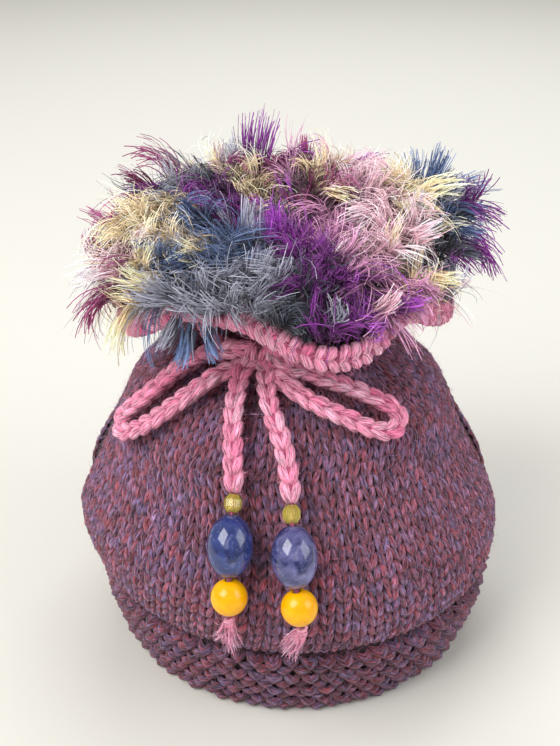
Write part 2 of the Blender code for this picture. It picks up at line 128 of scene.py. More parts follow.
# Beads on each tail, top one first: length, radius, the strand's lift at the top and at the bottom.
BEADS = (
    ("bead_glass", 5.8, 3.0, 6.1, 7.6),
    ("bead_stone", 20.0, 7.5, 8.3, 8.9),
    ("bead_round", 12.0, 6.0, 8.5, 7.2),
)
BORE_RADIUS = 1.6

# The frill's colours where they lie, seen from above: across, back, reach in millimetres, colour name.
PATCHES = (
    (-58, 9, 6, "cream"), (-46, -3, 9, "cream"), (-36, -14, 7, "cream"), (-47, -28, 5, "cream"),
    (-50, -36, 3, "cream"), (-60, -15, 6, "pink"), (-57, -16, 6, "pink"), (-59, 18, 3, "pink"),
    (-60, 17, 5, "plum"), (-62, 2, 5, "violet"), (-61, -9, 3, "plum"), (-55, -28, 4, "plum"),
    (-55, 28, 6, "violet"), (-47, 31, 5, "violet"), (-55, 28, 4, "charcoal"), (-32, 31, 5, "charcoal"),
    (-39, 25, 4, "slate"), (-44, 43, 6, "plum"), (-43, 38, 4, "plum"), (-34, 52, 4, "plum"),
    (-34, 46, 5, "pink"), (-27, 49, 5, "pink"), (-21, 51, 4, "cream"), (-41, 45, 3, "charcoal"),
    (-37, 37, 3, "cream"), (-12, 47, 6, "violet"), (-17, 50, 3, "slate"), (1, 50, 5, "plum"),
    (10, 50, 5, "plum"), (16, 46, 4, "mauve"), (24, 50, 3, "violet"), (27, 46, 4, "cream"),
    (-5, 46, 4, "plum"), (-6, 37, 5, "plum"), (-24, 42, 5, "charcoal"), (-23, 28, 3, "cream"),
    (-7, 25, 5, "cream"), (-12, 21, 4, "cream"), (-21, 16, 7, "violet"), (-17, 8, 4, "violet"),
    (-28, -7, 5, "blue"), (-22, -33, 5, "blue"), (-16, -6, 4, "blue"), (-37, -32, 3, "blue"),
    (-39, -24, 3, "slate"), (-13, 10, 3, "slate"), (-5, 19, 4, "orchid"), (-5, 8, 3, "orchid"),
    (1, 13, 3, "charcoal"), (-9, -7, 4, "charcoal"), (-25, -44, 7, "slate"), (-34, -42, 5, "slate"),
    (-16, -47, 5, "slate"), (-4, -41, 4, "slate"), (2, -49, 4, "charcoal"), (-10, -44, 3, "slate"),
    (4, -17, 4, "violet"), (10, -42, 5, "violet"), (14, -49, 6, "violet"), (22, -49, 4, "orchid"),
    (28, -53, 6, "orchid"), (6, 0, 3, "violet"), (9, 10, 5, "mauve"), (17, -1, 6, "mauve"),
    (21, -35, 4, "mauve"), (7, 22, 4, "plum"), (2, 31, 4, "mauve"), (10, 35, 5, "cream"),
    (20, 28, 5, "pink"), (28, 28, 6, "pink"), (29, 8, 6, "pink"), (36, -14, 7, "pink"),
    (19, 16, 5, "mauve"), (39, 28, 5, "cream"), (44, 8, 4, "cream"), (38, -31, 3, "cream"),
    (32, 47, 4, "pink"), (40, 46, 5, "pink"), (52, 36, 7, "blue"), (57, 21, 7, "blue"),
    (57, 6, 5, "charcoal"), (62, 32, 4, "violet"), (62, 0, 4, "violet"), (47, -8, 4, "slate"),
    (31, -38, 4, "mauve"), (29, -27, 4, "pink"), (34, -43, 4, "mauve"),
    (-22, 59, 5, "plum"), (-4, 60, 5, "violet"), (14, 60, 5, "mauve"), (32, 56, 5, "cream"),
    (-40, 54, 5, "pink"),
)
FRILL_NAMES = ("violet", "orchid", "plum", "mauve", "pink", "cream", "slate", "blue", "charcoal")

# Layers of locks over the whole frill, lowest first: name, spacing, filaments a lock, length, brightness. The
# brightness is painted light: the lower layers are darker as painted shade deep in the fur, the top one
# lighter.
FRILL_LAYERS = (
    ("frill_under", 3.0, 9, 0.55, 0.5),
    ("frill_locks_1", 4.7, 17, 0.95, 0.9),
    ("frill_locks_2", 5.6, 19, 1.2, 1.1),
)

# Single locks that stand up, curl over or reach out: place, aim, length, bend, colour name.
TALL_LOCKS = (
    (-14, 45, 160, -0.1, 0.2, 1.0, 24, 0.3, "violet"), (-10, 45, 160, 0.1, 0.1, 1.0, 25, 0.7, "violet"),
    (-7, 44, 160, 0.35, 0.1, 1.0, 20, 0.9, "violet"), (-17, 43, 160, -0.2, 0.1, 1.0, 16, 0.6, "slate"),
    (-42, 44, 156, 0.0, 0.2, 1.0, 25, 1.7, "plum"), (-50, 38, 154, -0.5, 0.1, 0.8, 20, 1.2, "plum"),
    (24, 46, 162, 0.9, 0.2, 0.7, 13, 0.3, "violet"), (6, 48, 162, 0.2, 0.2, 1.0, 14, 1.0, "plum"),
    (-28, 46, 160, 0.4, 0.1, 0.8, 17, 1.2, "pink"), (38, 42, 160, -0.3, 0.1, 1.0, 14, 0.9, "pink"),
    (54, 32, 152, 0.5, 0.1, 0.8, 17, 0.7, "blue"), (58, 26, 150, 0.9, 0.1, 0.45, 15, 0.5, "blue"),
    (56, 18, 149, 1.0, -0.1, 0.3, 15, 0.6, "blue"), (60, 30, 150, 1.0, 0.1, 0.45, 22, 1.0, "violet"),
    (61, 14, 146, 1.0, -0.2, 0.1, 20, 1.1, "violet"), (57, 8, 146, 0.9, -0.4, 0.0, 14, 0.9, "charcoal"),
    (-58, 16, 146, -0.7, 0.1, 0.8, 19, 0.8, "plum"), (-60, 2, 143, -1.0, -0.1, 0.2, 18, 1.0, "plum"),
    (-56, -22, 143, -1.0, -0.2, 0.0, 20, 1.3, "plum"), (-50, -33, 142, -0.7, -0.5, -0.5, 17, 0.8, "cream"),
    (-55, -14, 146, -1.0, -0.4, 0.3, 18, 0.8, "pink"), (-40, -30, 150, -0.6, -0.7, 0.1, 20, 0.7, "cream"),
    (-31, -48, 142, -0.1, -0.5, -0.9, 12, 0.5, "blue"), (-25, -50, 142, 0.1, -0.5, -0.9, 10, 0.6, "blue"),
    (-35, -45, 143, -0.4, -0.5, -0.7, 11, 0.6, "slate"), (-38, -26, 154, -0.3, -0.9, -0.2, 16, 0.5, "blue"),
    (-30, -42, 150, -0.9, -0.5, 0.0, 20, 0.5, "slate"), (-18, -46, 148, -0.9, -0.5, 0.1, 19, 0.6, "slate"),
    (-12, -8, 153, -0.1, -0.2, 1.0, 16, 0.9, "slate"), (-4, -4, 152, 0.0, -0.2, 1.0, 15, 0.6, "orchid"),
    (12, -48, 146, 0.6, -0.7, 0.1, 14, 0.9, "slate"), (33, -42, 147, 0.6, -0.7, 0.1, 12, 0.8, "orchid"),
    (36, -38, 148, 0.6, -0.5, 0.2, 12, 0.9, "mauve"), (27, -46, 147, 0.4, -0.7, 0.3, 13, 0.8, "pink"),
    (39, -32, 150, 0.7, -0.5, 0.2, 12, 0.8, "mauve"), (46, -24, 150, 0.8, -0.5, -0.2, 15, 1.0, "cream"),
    (40, -14, 158, 0.3, -0.9, 0.4, 17, 0.8, "pink"), (32, 4, 160, -0.3, -0.7, 0.7, 19, 0.9, "pink"),
    (42, 6, 158, 0.1, -0.8, 0.6, 19, 0.7, "cream"), (14, 24, 160, 0.2, -0.8, 0.6, 18, 0.8, "cream"),
    (50, 34, 154, 0.5, 0.2, 1.0, 21, 0.6, "blue"), (54, 30, 153, 0.8, 0.1, 0.7, 23, 0.6, "blue"),
    (48, 30, 154, 0.6, -0.2, 0.9, 19, 0.9, "charcoal"), (53, 26, 152, 0.9, -0.3, 0.6, 20, 0.8, "blue"),
    (46, 34, 156, 0.3, 0.1, 1.0, 18, 0.7, "blue"), (51, 24, 152, 0.9, 0.0, 0.5, 21, 0.6, "slate"),
    (53, 20, 149, 1.0, -0.1, 0.25, 19, 0.7, "charcoal"), (50, 15, 149, 1.0, -0.2, 0.1, 17, 0.8, "blue"),
    (55, 28, 151, 1.0, 0.1, 0.6, 27, 1.0, "violet"), (55, 22, 148, 1.0, 0.0, 0.3, 25, 1.1, "violet"),
    (51, 12, 146, 1.0, -0.1, -0.1, 18, 0.9, "violet"), (41, 30, 158, 0.2, -0.2, 1.0, 18, 0.9, "cream"),
    (44, 26, 156, 0.5, -0.2, 0.8, 23, 0.8, "cream"), (47, 28, 156, 0.7, 0.3, 0.9, 22, 0.6, "blue"),
)

# The camera fitted to the photo: focal length in widths of the picture, place in metres, tilt in degrees.
FOCAL_WIDTHS = 1100.0 / 560.0
CAMERA_PLACE = (-0.0026, -0.358, 0.294)
CAMERA_TILT = 61.5

# Lamps: name, place and target in metres, width in metres, watts, colour.
LIGHTS = (
    ("window", (-0.75, -0.55, 1.05), (0.0, 0.0, 0.09), 0.9, 17.0, (1.0, 0.985, 0.96)),
    ("side", (0.95, -0.35, 0.7), (0.0, 0.0, 0.09), 0.8, 6.0, (0.96, 0.98, 1.0)),
    ("back", (0.1, 0.9, 1.1), (0.0, 0.0, 0.1), 1.0, 9.0, (1.0, 1.0, 1.0)),
)


def linear(text):
    """The linear colour of an sRGB hex value."""
    out = []
    for i in (1, 3, 5):
        value = int(text[i:i + 2], 16) / 255.0
        out.append(value / 12.92 if value <= 0.04045 else ((value + 0.055) / 1.055) ** 2.4)
    return tuple(out)


def blend(low, high, x):
    t = np.clip((x - low) / (high - low), 0.0, 1.0)
    return t * t * (3.0 - 2.0 * t)


def unit(v):
    return v / np.maximum(np.linalg.norm(v, axis=-1, keepdims=True), 1e-9)


def turn(azimuth):
    """Unit vectors that point out at azimuths counted from the front (-Y) towards +X."""
    a = np.radians(azimuth)
    return np.stack([np.sin(a), -np.cos(a), 0.0 * a], axis=-1)


def hem_ring(i):
    share = i / HEM_STEPS
    radius = HEM_RADIUS + (HEM_TOP_RADIUS - HEM_RADIUS) * math.sin(0.5 * math.pi * share)
    return CREASE_RADIUS if i == HEM_STEPS else radius, HEM_HEIGHT * share


RINGS = np.array([hem_ring(i) for i in range(HEM_STEPS + 1)] + list(BODY) + list(NECK) + list(COLLAR))
LAST = len(RINGS) - 1
NECK_RING = LAST - len(COLLAR)


def outline(k):
    """Radius and height at stations along the body's outline, smooth through the rings."""
    k = np.clip(np.asarray(k, dtype=float), 0.0, LAST)
    i = np.minimum(k.astype(int), LAST - 1)
    t = (k - i)[..., None]
    a, b, c, d = (RINGS[np.clip(i + step, 0, LAST)] for step in (-1, 0, 1, 2))
    point = b + 0.5 * t * (c - a + t * (2 * a - 5 * b + 4 * c - d + t * (3 * (b - c) + d - a)))
    return point[..., 0], point[..., 1]


STATIONS = np.linspace(0.0, LAST, 1500)
ARC = np.concatenate([[0.0], np.cumsum(np.hypot(*(np.diff(x) for x in outline(STATIONS))))])
HEM_ARC = float(np.interp(HEM_STEPS, STATIONS, ARC))
FULL_ARC = float(ARC[-1])


def station(height):
    """The station of a height on the body, from the hem to the neck."""
    return np.interp(height, RINGS[:NECK_RING + 1, 1], np.arange(NECK_RING + 1.0))


def lobe(azimuth):
    """How far out and down the collar hangs at an azimuth."""
    out = -2.6 + 0.0 * azimuth
    down = -7.0 + 0.0 * azimuth
    for centre, reach, drop in LOBES:
        away = np.abs((azimuth - centre + 180.0) % 360.0 - 180.0) / LOBE_SPREAD
        share = 0.5 + 0.5 * np.cos(np.pi * np.minimum(1.0, away))
        out = out + share * (reach + 2.6)
        down = down + share * (drop + 7.0)
    return out, down


def section(azimuth, k):
    radius, height = outline(k)
    radius = radius + HEM_LEAN * np.sin(np.radians(azimuth)) * (1.0 - blend(HEM_HEIGHT, LEAN_END, height))
    share = blend(NECK_RING + 0.6, LAST, k)
    out, down = lobe(azimuth)
    return radius + share * out, height - share * down


def pleat_depth(k):
    low = blend(station(90.0), station(109.0), k)
    neck = 1.0 - 0.35 * blend(NECK_RING - 2.0, NECK_RING, k) + 0.35 * blend(NECK_RING, LAST, k)
    return 0.9 * low * neck


def surface(azimuth, k, lift=0.0, pleats=True):
    """Points this far off the body's outside; a negative lift lies below it."""
    azimuth, k = np.broadcast_arrays(np.asarray(azimuth, dtype=float), np.asarray(k, dtype=float))
    radius, height = section(azimuth, k)
    before = section(azimuth, k - 0.35)
    after = section(azimuth, k + 0.35)
    run = unit(np.stack([after[0] - before[0], after[1] - before[1]], axis=-1))
    run = np.where((k < HEM_STEPS)[..., None], unit(np.array([0.14, 0.99])), run)
    swell = pleat_depth(k) * np.cos(np.radians(azimuth * PLEATS)) if pleats else 0.0
    shift = swell + lift
    point = turn(azimuth) * (radius + shift * run[..., 1])[..., None]
    point[..., 2] = height - shift * run[..., 0]
    return point


def slit(limits, height):
    low, high, width = limits
    share = np.clip((height - low) / (high - low), 0.0, 1.0)
    return 0.5 * width * np.maximum(np.sin(np.pi * share), 0.0) ** 0.8


def panel_span(front, k):
    """The azimuths between which a panel lies at a station, and its width there."""
    radius, height = outline(k)
    left, right = (SPOUT_SLIT, HANDLE_SLIT) if front else (HANDLE_SLIT, SPOUT_SLIT)
    start = -90.0 + np.degrees(np.arcsin((slit(left, height) + 0.5 * SEAM_GAP) / radius))
    stop = 90.0 - np.degrees(np.arcsin((slit(right, height) + 0.5 * SEAM_GAP) / radius))
    shift = 0.0 if front else 180.0
    return start + shift, stop + shift, np.radians(stop - start) * radius


def on_panel(front, share, arc, lift):
    """Points of a panel: share of the way across it, arc up from the hem, lift off its outside."""
    k = np.interp(arc, ARC, STATIONS)
    start, stop, _ = panel_span(front, k)
    return surface(start + (stop - start) * share, k, lift)


def smooth_path(points, steps):
    """A curve through the points, sampled a number of times between each pair."""
    points = np.asarray(points, dtype=float)
    ends = np.concatenate([[2 * points[0] - points[1]], points, [2 * points[-1] - points[-2]]])
    path = []
    for i in range(1, len(ends) - 2):
        a, b, c, d = ends[i - 1:i + 3]
        for j in range(steps):
            t = j / steps
            path.append(b + 0.5 * t * (c - a + t * (2 * a - 5 * b + 4 * c - d + t * (3 * (b - c) + d - a))))
    path.append(points[-1])
    return np.array(path)


def walk(path, others, places):
    """The path, and whatever goes with it, at distances along it."""
    length = np.concatenate([[0.0], np.cumsum(np.linalg.norm(np.diff(path, axis=0), axis=1))])
    flat = np.ravel(places)
    found = []
    for line in (path, *others):
        got = np.stack([np.interp(flat, length, line[:, axis]) for axis in range(3)], axis=-1)
        found.append(got.reshape(*np.shape(places), 3))
    return found


def path_length(path):
    return float(np.linalg.norm(np.diff(path, axis=0), axis=1).sum())


def add_node(tree, kind, values, output=0):
    """Adds a node and gives one output; a value is a setting, a socket's constant or what feeds it."""
    node = tree.nodes.new(kind)
    for name, value in values.items():
        if isinstance(name, str) and hasattr(node, name):
            setattr(node, name, value)
        elif isinstance(value, bpy.types.NodeSocket):
            tree.links.new(value, node.inputs[name])
        else:
            node.inputs[name].default_value = value
    return node.outputs[output]


def carried(tree, name, output):
    """What a piece's points carry: yarn is their colour, strand is mm along and mm round their strand."""
    return add_node(tree, "ShaderNodeAttribute", {"attribute_name": name}, output)


def placed(tree, place, scale, tilt=0.0, shift=(0.0, 0.0, 0.0)):
    """A place that is scaled, turned in its own plane and shifted."""
    values = {"Scale": scale, "Rotation": (0.0, 0.0, tilt), "Location": shift, "Vector": place}
    return add_node(tree, "ShaderNodeMapping", values)


def cloudy(tree, place, scale, detail, roughness=0.5, warp=0.0):
    """Noise at a place; the scale is how many clouds lie in one unit of it."""
    values = {"Scale": scale, "Detail": detail, "Roughness": roughness, "Distortion": warp, "Vector": place}
    return add_node(tree, "ShaderNodeTexNoise", values)


def ranged(tree, value, low, high, to_low=0.0, to_high=1.0, kind="LINEAR"):
    """A value taken from one range to another and held inside it."""
    values = {"From Min": low, "From Max": high, "To Min": to_low, "To Max": to_high, "Value": value}
    return add_node(tree, "ShaderNodeMapRange", {"interpolation_type": kind, **values})


def mixed(tree, share, first, second):
    """A colour between two others."""
    return add_node(tree, "ShaderNodeMix", {"data_type": "RGBA", 0: share, 6: first, 7: second}, 2)


def shaded(tree, colour, light):
    """A colour made lighter or darker by a factor."""
    return add_node(tree, "ShaderNodeHueSaturation", {"Color": colour, "Value": light})


def embossed(tree, height, strength, depth):
    """The normal of a surface that is this many millimetres rough."""
    values = {"Strength": strength, "Distance": depth * MM, "Height": height}
    return add_node(tree, "ShaderNodeBump", values)


def new_material(name, **settings):
    """A material whose shader has these values, its node tree and its shader's inputs."""
    material = bpy.data.materials.new(name)
    material.use_nodes = True
    shader = material.node_tree.nodes["Principled BSDF"]
    for key, value in settings.items():
        shader.inputs[key.replace("_", " ")].default_value = value
    return material, material.node_tree, shader.inputs


def knitted_wool(name, flecks, roughness, sheen, fleck_share):
    """Woollen-spun yarn: short crimped fibres lie along a soft strand, so light scatters and never glints."""
    material, tree, inputs = new_material(name, Roughness=roughness, Sheen_Weight=sheen, Sheen_Roughness=0.45)
    colour = carried(tree, "yarn", "Color")
    strand = carried(tree, "strand", "Vector")
    # Streaks of each other dyed fibre in the blend, about 0.6 mm wide and 3.3 mm long.
    for i, fleck in enumerate(flecks):
        streak = placed(tree, strand, (0.3, 1.7, 40.0), 0.38, (3.0 + 11.0 * i, 7.0 * i, 1.0))
        mask = ranged(tree, cloudy(tree, streak, 1.0, 3.0, 0.6), 0.5, 0.6, 0.0, fleck_share, "SMOOTHSTEP")
        colour = mixed(tree, mask, colour, (*fleck, 1.0))
    # Bundles of fibre about 0.45 mm wide and 3 mm long, drawn coarser than single 0.03 mm fibres; their
    # colour goes from 0.2 to 1.8 times as light, painted highlight on the bundles and painted shade between
    # them.
    fibres = cloudy(tree, placed(tree, strand, (0.32, 2.3, 40.0), 0.34), 1.0, 5.0, 0.7)
    tree.links.new(shaded(tree, colour, ranged(tree, fibres, 0.36, 0.64, 0.2, 1.8)), inputs["Base Color"])
    tree.links.new(embossed(tree, fibres, 1.0, 0.9), inputs["Normal"])
    return material


def purl_side(name, dark, light):
    """The back of stockinette: rows of purl bumps, with painted shade in the hollows between the stitches,
    where the colour goes from dark to light with the bumps' height.
    """
    material, tree, inputs = new_material(name, Roughness=0.95, Sheen_Weight=0.25, Sheen_Roughness=0.5)
    place = carried(tree, "strand", "Vector")
    # Bumps 5.5 mm apart across and 4.1 mm apart up, a little closer than the stitches on the face.
    bumps = placed(tree, place, (2 * math.pi / 5.5, 2 * math.pi / 4.1, 1.0))
    split = add_node(tree, "ShaderNodeSeparateXYZ", {0: bumps}, "X").node.outputs
    across = add_node(tree, "ShaderNodeMath", {"operation": "SINE", 0: split["X"]})
    lean = {"operation": "MULTIPLY_ADD", 0: across, 1: 0.8, 2: split["Y"]}
    leaning = add_node(tree, "ShaderNodeMath", lean)
    rows = add_node(tree, "ShaderNodeMath", {"operation": "SINE", 0: leaning})
    fuzz_height = cloudy(tree, place, 0.9, 4.0, 0.7)
    height = add_node(tree, "ShaderNodeMath", {"operation": "MULTIPLY_ADD", 0: rows, 1: 0.35, 2: fuzz_height})
    tree.links.new(mixed(tree, height, (*dark, 1.0), (*light, 1.0)), inputs["Base Color"])
    tree.links.new(embossed(tree, height, 0.9, 1.0), inputs["Normal"])
    return material


def eyelash_yarn(name, sheen):
    """Eyelash yarn: smooth flat polyester filaments, cut to length, that shine a little along their sides."""
    material, tree, inputs = new_material(name, Roughness=0.42, Sheen_Weight=sheen, Sheen_Roughness=0.4)
    # Dye takes unevenly every 3 mm or so along a filament.
    uneven = cloudy(tree, carried(tree, "strand", "Vector"), 0.33, 2.0)
    colour = shaded(tree, carried(tree, "yarn", "Color"), ranged(tree, uneven, 0.3, 0.7, 0.78, 1.22))
    tree.links.new(colour, inputs["Base Color"])
    return material


def object_place(tree):
    """Places on an object, in metres from its own middle."""
    return add_node(tree, "ShaderNodeTexCoord", {}, "Object")


def pressed_glass(name, colour):
    """Moulded soda glass with cut facets: light passes through it, and its edges glint."""
    material, tree, inputs = new_material(
        name, Roughness=0.05, IOR=1.52, Transmission_Weight=0.8, Base_Color=(*colour, 1.0)
    )
    # Shallow waves 1.5 mm apart, left by the mould.
    waves = cloudy(tree, object_place(tree), 1.0 / (1.5 * MM), 1.0)
    tree.links.new(embossed(tree, waves, 0.25, 0.2), inputs["Normal"])
    return material


def polished_stone(name, deep, pale):
    """Tumbled and polished blue stone: cloudy veins under a hard gloss."""
    material, tree, inputs = new_material(name, Roughness=0.1, IOR=1.54, Coat_Weight=0.3, Coat_Roughness=0.04)
    place = object_place(tree)
    # Clouds about 8 mm wide, pulled into veins by their own warp, with pale veins 3.5 mm apart over them.
    clouds = cloudy(tree, place, 1.0 / (8.0 * MM), 5.0, 0.6, 1.4)
    veins = cloudy(tree, place, 1.0 / (3.5 * MM), 3.0, 0.5, 3.0)
    body = mixed(tree, ranged(tree, clouds, 0.36, 0.66), (*deep, 1.0), carried(tree, "yarn", "Color"))
    colour = mixed(tree, ranged(tree, veins, 0.54, 0.74, 0.0, 0.3), body, (*pale, 1.0))
    tree.links.new(colour, inputs["Base Color"])
    return material


def glossy_bead(name, colour, warm):
    """Opaque glass paste, fire-polished: one even deep colour with warmer swirls under a wet gloss."""
    material, tree, inputs = new_material(name, Roughness=0.14, IOR=1.5, Specular_IOR_Level=0.4)
    # Faint swirls about 5 mm wide in the paste.
    swirls = cloudy(tree, object_place(tree), 1.0 / (5.0 * MM), 2.0, 0.5, 0.8)
    tree.links.new(mixed(tree, swirls, (*colour, 1.0), (*warm, 1.0)), inputs["Base Color"])
    return material


def painted_floor(name, colour):
    """Matt emulsion paint on a smooth board, rolled: a faint stipple and no gloss."""
    material, tree, inputs = new_material(name, Roughness=0.9, Specular_IOR_Level=0.2)
    # Roller stipple about 2 mm across.
    stipple = cloudy(tree, object_place(tree), 1.0 / (2.0 * MM), 2.0)
    light = ranged(tree, stipple, 0.0, 1.0, 0.985, 1.015)
    tree.links.new(shaded(tree, (*colour, 1.0), light), inputs["Base Color"])
    return material


def quads_of(count, rows, around, closed):
    """The faces of a number of strips or tubes, each a grid of rows by points around."""
    index = np.arange(count * rows * around).reshape(count, rows, around)
    if closed:
        here = index
        there = np.roll(index, -1, axis=2)
    else:
        here = index[:, :, :-1]
        there = index[:, :, 1:]
    return np.stack([here[:, :-1], there[:, :-1], there[:, 1:], here[:, 1:]], axis=-1).reshape(-1, 4)


def new_piece(name, points, faces, material, colour=None, strand=None):
    """An object in metres from points in millimetres and four-cornered faces, riding on the body."""
    mesh = bpy.data.meshes.new(name)
    mesh.vertices.add(len(points))
    mesh.vertices.foreach_set("co", np.ascontiguousarray(points * MM, dtype=np.float32).ravel())
    mesh.loops.add(faces.size)
    mesh.loops.foreach_set("vertex_index", np.ascontiguousarray(faces, dtype=np.int32).ravel())
    mesh.polygons.add(len(faces))
    mesh.polygons.foreach_set("loop_start", np.arange(0, faces.size, 4, dtype=np.int32))
    mesh.update(calc_edges=True)
    mesh.validate()
    if colour is not None:
        layer = mesh.color_attributes.new("yarn", "FLOAT_COLOR", "POINT")
        rgba = np.ones((len(points), 4), dtype=np.float32)
        rgba[:, :3] = colour.reshape(-1, 3)
        layer.data.foreach_set("color", rgba.ravel())
    if strand is not None:
        layer = mesh.attributes.new("strand", "FLOAT_VECTOR", "POINT")
        layer.data.foreach_set("vector", np.ascontiguousarray(strand, dtype=np.float32).ravel())
    mesh.shade_smooth()
    mesh.materials.append(material)
    obj = bpy.data.objects.new(name, mesh)
    bpy.context.scene.collection.objects.link(obj)
    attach(obj, BODY_NAME)
    return obj


def strand_piece(name, grid, material, colour, ids, closed):
    """A piece of many strands: grid holds strand, row, point around; colour is per strand and row."""
    count, rows, around = grid.shape[:3]
    steps = np.linalg.norm(np.diff(grid.mean(axis=2), axis=1), axis=-1)
    along = np.concatenate([np.zeros((count, 1)), np.cumsum(steps, axis=1)], axis=1)
    girth = np.linalg.norm(np.diff(grid[:, rows // 2], axis=1), axis=-1).mean()
    strand = np.zeros(grid.shape)
    strand[..., 0] = along[..., None] + 37.0 * ids[:, None, None]
    strand[..., 1] = girth * np.arange(around)
    strand[..., 2] = ids[:, None, None]
    shades = np.broadcast_to(colour[:, :, None, :], grid.shape)
    faces = quads_of(count, rows, around, closed)
    return new_piece(name, grid.reshape(-1, 3), faces, material, shades, strand.reshape(-1, 3))


def tubes(paths, normals, radii, sides):
    """Closed tubes along many paths at once; normals fix where each tube's first side lies."""
    tangent = unit(np.gradient(paths, axis=1))
    side = unit(np.cross(tangent, normals))
    up = np.cross(side, tangent)
    angle = 2 * np.pi * np.arange(sides) / sides
    ring = side[:, :, None, :] * np.cos(angle)[:, None] + up[:, :, None, :] * np.sin(angle)[:, None]
    return paths[:, :, None, :] + ring * radii[:, :, None, None]


def ribbons(paths, widths, rng, tip=0.25):
    """Flat filaments along many paths, each turned its own way and narrowed towards its tip."""
    tangent = unit(np.gradient(paths, axis=1))
    facing = unit(rng.normal(size=(len(paths), 1, 3)))
    side = unit(np.cross(tangent, facing))
    taper = np.linspace(1.0, tip, paths.shape[1])
    half = 0.5 * widths[:, None, None] * taper[None, :, None] * side
    return np.stack([paths - half, paths + half], axis=2)


def knitted(front, share, arc, path, radii, rng):
    """Yarn strands that lie on a panel: path holds mm across, mm up and lift, from each strand's place."""
    path = path + rng.normal(size=(len(path), 1, 3)) * np.array([0.1, 0.14, 0.08])
    across, up = np.gradient(path[..., 0], axis=1), np.gradient(path[..., 1], axis=1)
    norm = np.maximum(np.hypot(across, up), 1e-6)
    angle = np.linspace(0.0, np.pi, 5)
    lateral = radii[..., None] * np.cos(angle)
    x = path[..., 0, None] - (up / norm)[..., None] * lateral
    s = arc[:, None, None] + path[..., 1, None] + (across / norm)[..., None] * lateral
    lift = path[..., 2, None] + 0.9 * radii[..., None] * np.sin(angle)
    s = np.clip(s, 0.6, FULL_ARC - 0.1)
    k = np.interp(s, ARC, STATIONS)
    start, stop, width = panel_span(front, k)
    place = np.clip(share[:, None, None] + x / width, 0.0, 1.0)
    return surface(start + (stop - start) * place, k, lift)


def ramp_of(stops, x):
    """Colours along a list of linear colours, for places from 0 to 1."""
    table = np.array(stops)
    at = np.linspace(0.0, 1.0, len(table))
    return np.stack([np.interp(x, at, table[:, axis]) for axis in range(3)], axis=-1)


def drifting(rng, count, span):
    """Values from 0 to 1 that change slowly from one to the next, as the dye does along a yarn."""
    raw = rng.random(count + 4 * span)
    kernel = np.hanning(span + 2)[1:-1]
    soft = np.convolve(raw, kernel / kernel.sum(), mode="same")[2 * span:2 * span + count]
    return np.argsort(np.argsort(soft)) / max(1, count - 1)


def dress(pieces, node, slot):
    """Hides the solid that the pieces show; slot is not used."""
    for piece in pieces:
        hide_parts(node)


def length_property(title, size, least, most, description, precision=4):
    """A length that the sidebar shows, given in millimetres."""
    return bpy.props.FloatProperty(
        name=title, description=description, default=size * MM, min=least * MM, max=most * MM, unit="LENGTH",
        precision=precision,
    )


class CosySizes(bpy.types.PropertyGroup):
    stitch_width: length_property("Stitch Width", 6.3, 3.0, 9.0, "Width of a stitch at the body's widest")
    row_height: length_property("Row Height", 4.4, 2.5, 7.0, "Height of one row of stockinette")
    hem_row_height: length_property("Hem Row Height", 3.75, 2.5, 6.0, "Height of one row of bumps in the hem")
    chain_pitch: length_property("Chain Pitch", 5.6, 3.0, 9.0, "Length of one link of the crocheted cord")
    lash_length: length_property("Lash Length", 16.5, 5.0, 25.0, "Usual length of the frill's filaments")
    lash_width: length_property(
        "Lash Width", 0.4, 0.1, 1.0, "Width of a drawn filament, which stands for several", precision=5
    )
    hair_count: bpy.props.IntProperty(
        name="Wool Hairs", description="Loose hairs on each half of the body", default=15000, min=0, max=20000
    )


def colour_property(title, text, description):
    return bpy.props.FloatVectorProperty(
        name=title, description=description, default=linear(text), size=3, subtype="COLOR", min=0.0, max=1.0
    )


class CosyColours(bpy.types.PropertyGroup):
    wool_dark: colour_property("Wool Dark", "#3a1826", "Darkest fibre of the heathered wool")
    wool_mauve: colour_property("Wool Mauve", "#80536c", "Mauve fibre of the heathered wool")
    wool_rose: colour_property("Wool Rose", "#985661", "Rose fibre of the heathered wool")
    wool_brick: colour_property("Wool Brick", "#a64347", "Brick-red fibre of the heathered wool")
    wool_lavender: colour_property("Wool Lavender", "#8a7aa8", "Lavender fibre of the heathered wool")
    wool_blue: colour_property("Wool Blue", "#5c5a8c", "Blue-grey fibre of the heathered wool")
    pink_light: colour_property("Pink Light", "#ffbcd6", "Lightest tone of the pink cord and edging")
    pink_deep: colour_property("Pink Deep", "#e8689a", "Deepest tone of the pink cord and edging")
    bead_glass: colour_property("Glass Bead", "#fff07c", "Small faceted glass beads")
    bead_stone: colour_property("Stone Bead", "#37488c", "Oval stone beads")
    bead_round: colour_property("Round Bead", "#ffc800", "Round glossy beads")
    frill_violet: colour_property("Frill Violet", "#7a2a86", "Deep purple of the frill")
    frill_orchid: colour_property("Frill Orchid", "#a44cb8", "Bright purple of the frill")
    frill_plum: colour_property("Frill Plum", "#8c3a6a", "Plum of the frill")
    frill_mauve: colour_property("Frill Mauve", "#c48cb0", "Mauve of the frill")
    frill_pink: colour_property("Frill Pink", "#ffd0dc", "Pale pink of the frill")
    frill_cream: colour_property("Frill Cream", "#ffe4bc", "Cream of the frill")
    frill_slate: colour_property("Frill Slate", "#9a9bab", "Slate grey of the frill")
    frill_blue: colour_property("Frill Blue", "#5d7099", "Blue of the frill")
    frill_charcoal: colour_property("Frill Charcoal", "#4a4e5c", "Charcoal of the frill")
    floor: colour_property("Floor", "#d6d5cf", "The plain floor")


def wool_shades(colours, tone):
    """Yarn colours along a blend of six dyed fibres, drawn halfway to the blend's own middle tone."""
    order = ("dark", "mauve", "rose", "brick", "mauve", "lavender", "blue")
    stops = np.array([tuple(getattr(colours, "wool_" + name)) for name in order])
    return 0.5 * ramp_of(stops, np.clip(tone, 0.0, 1.0)) + 0.5 * stops.mean(axis=0)


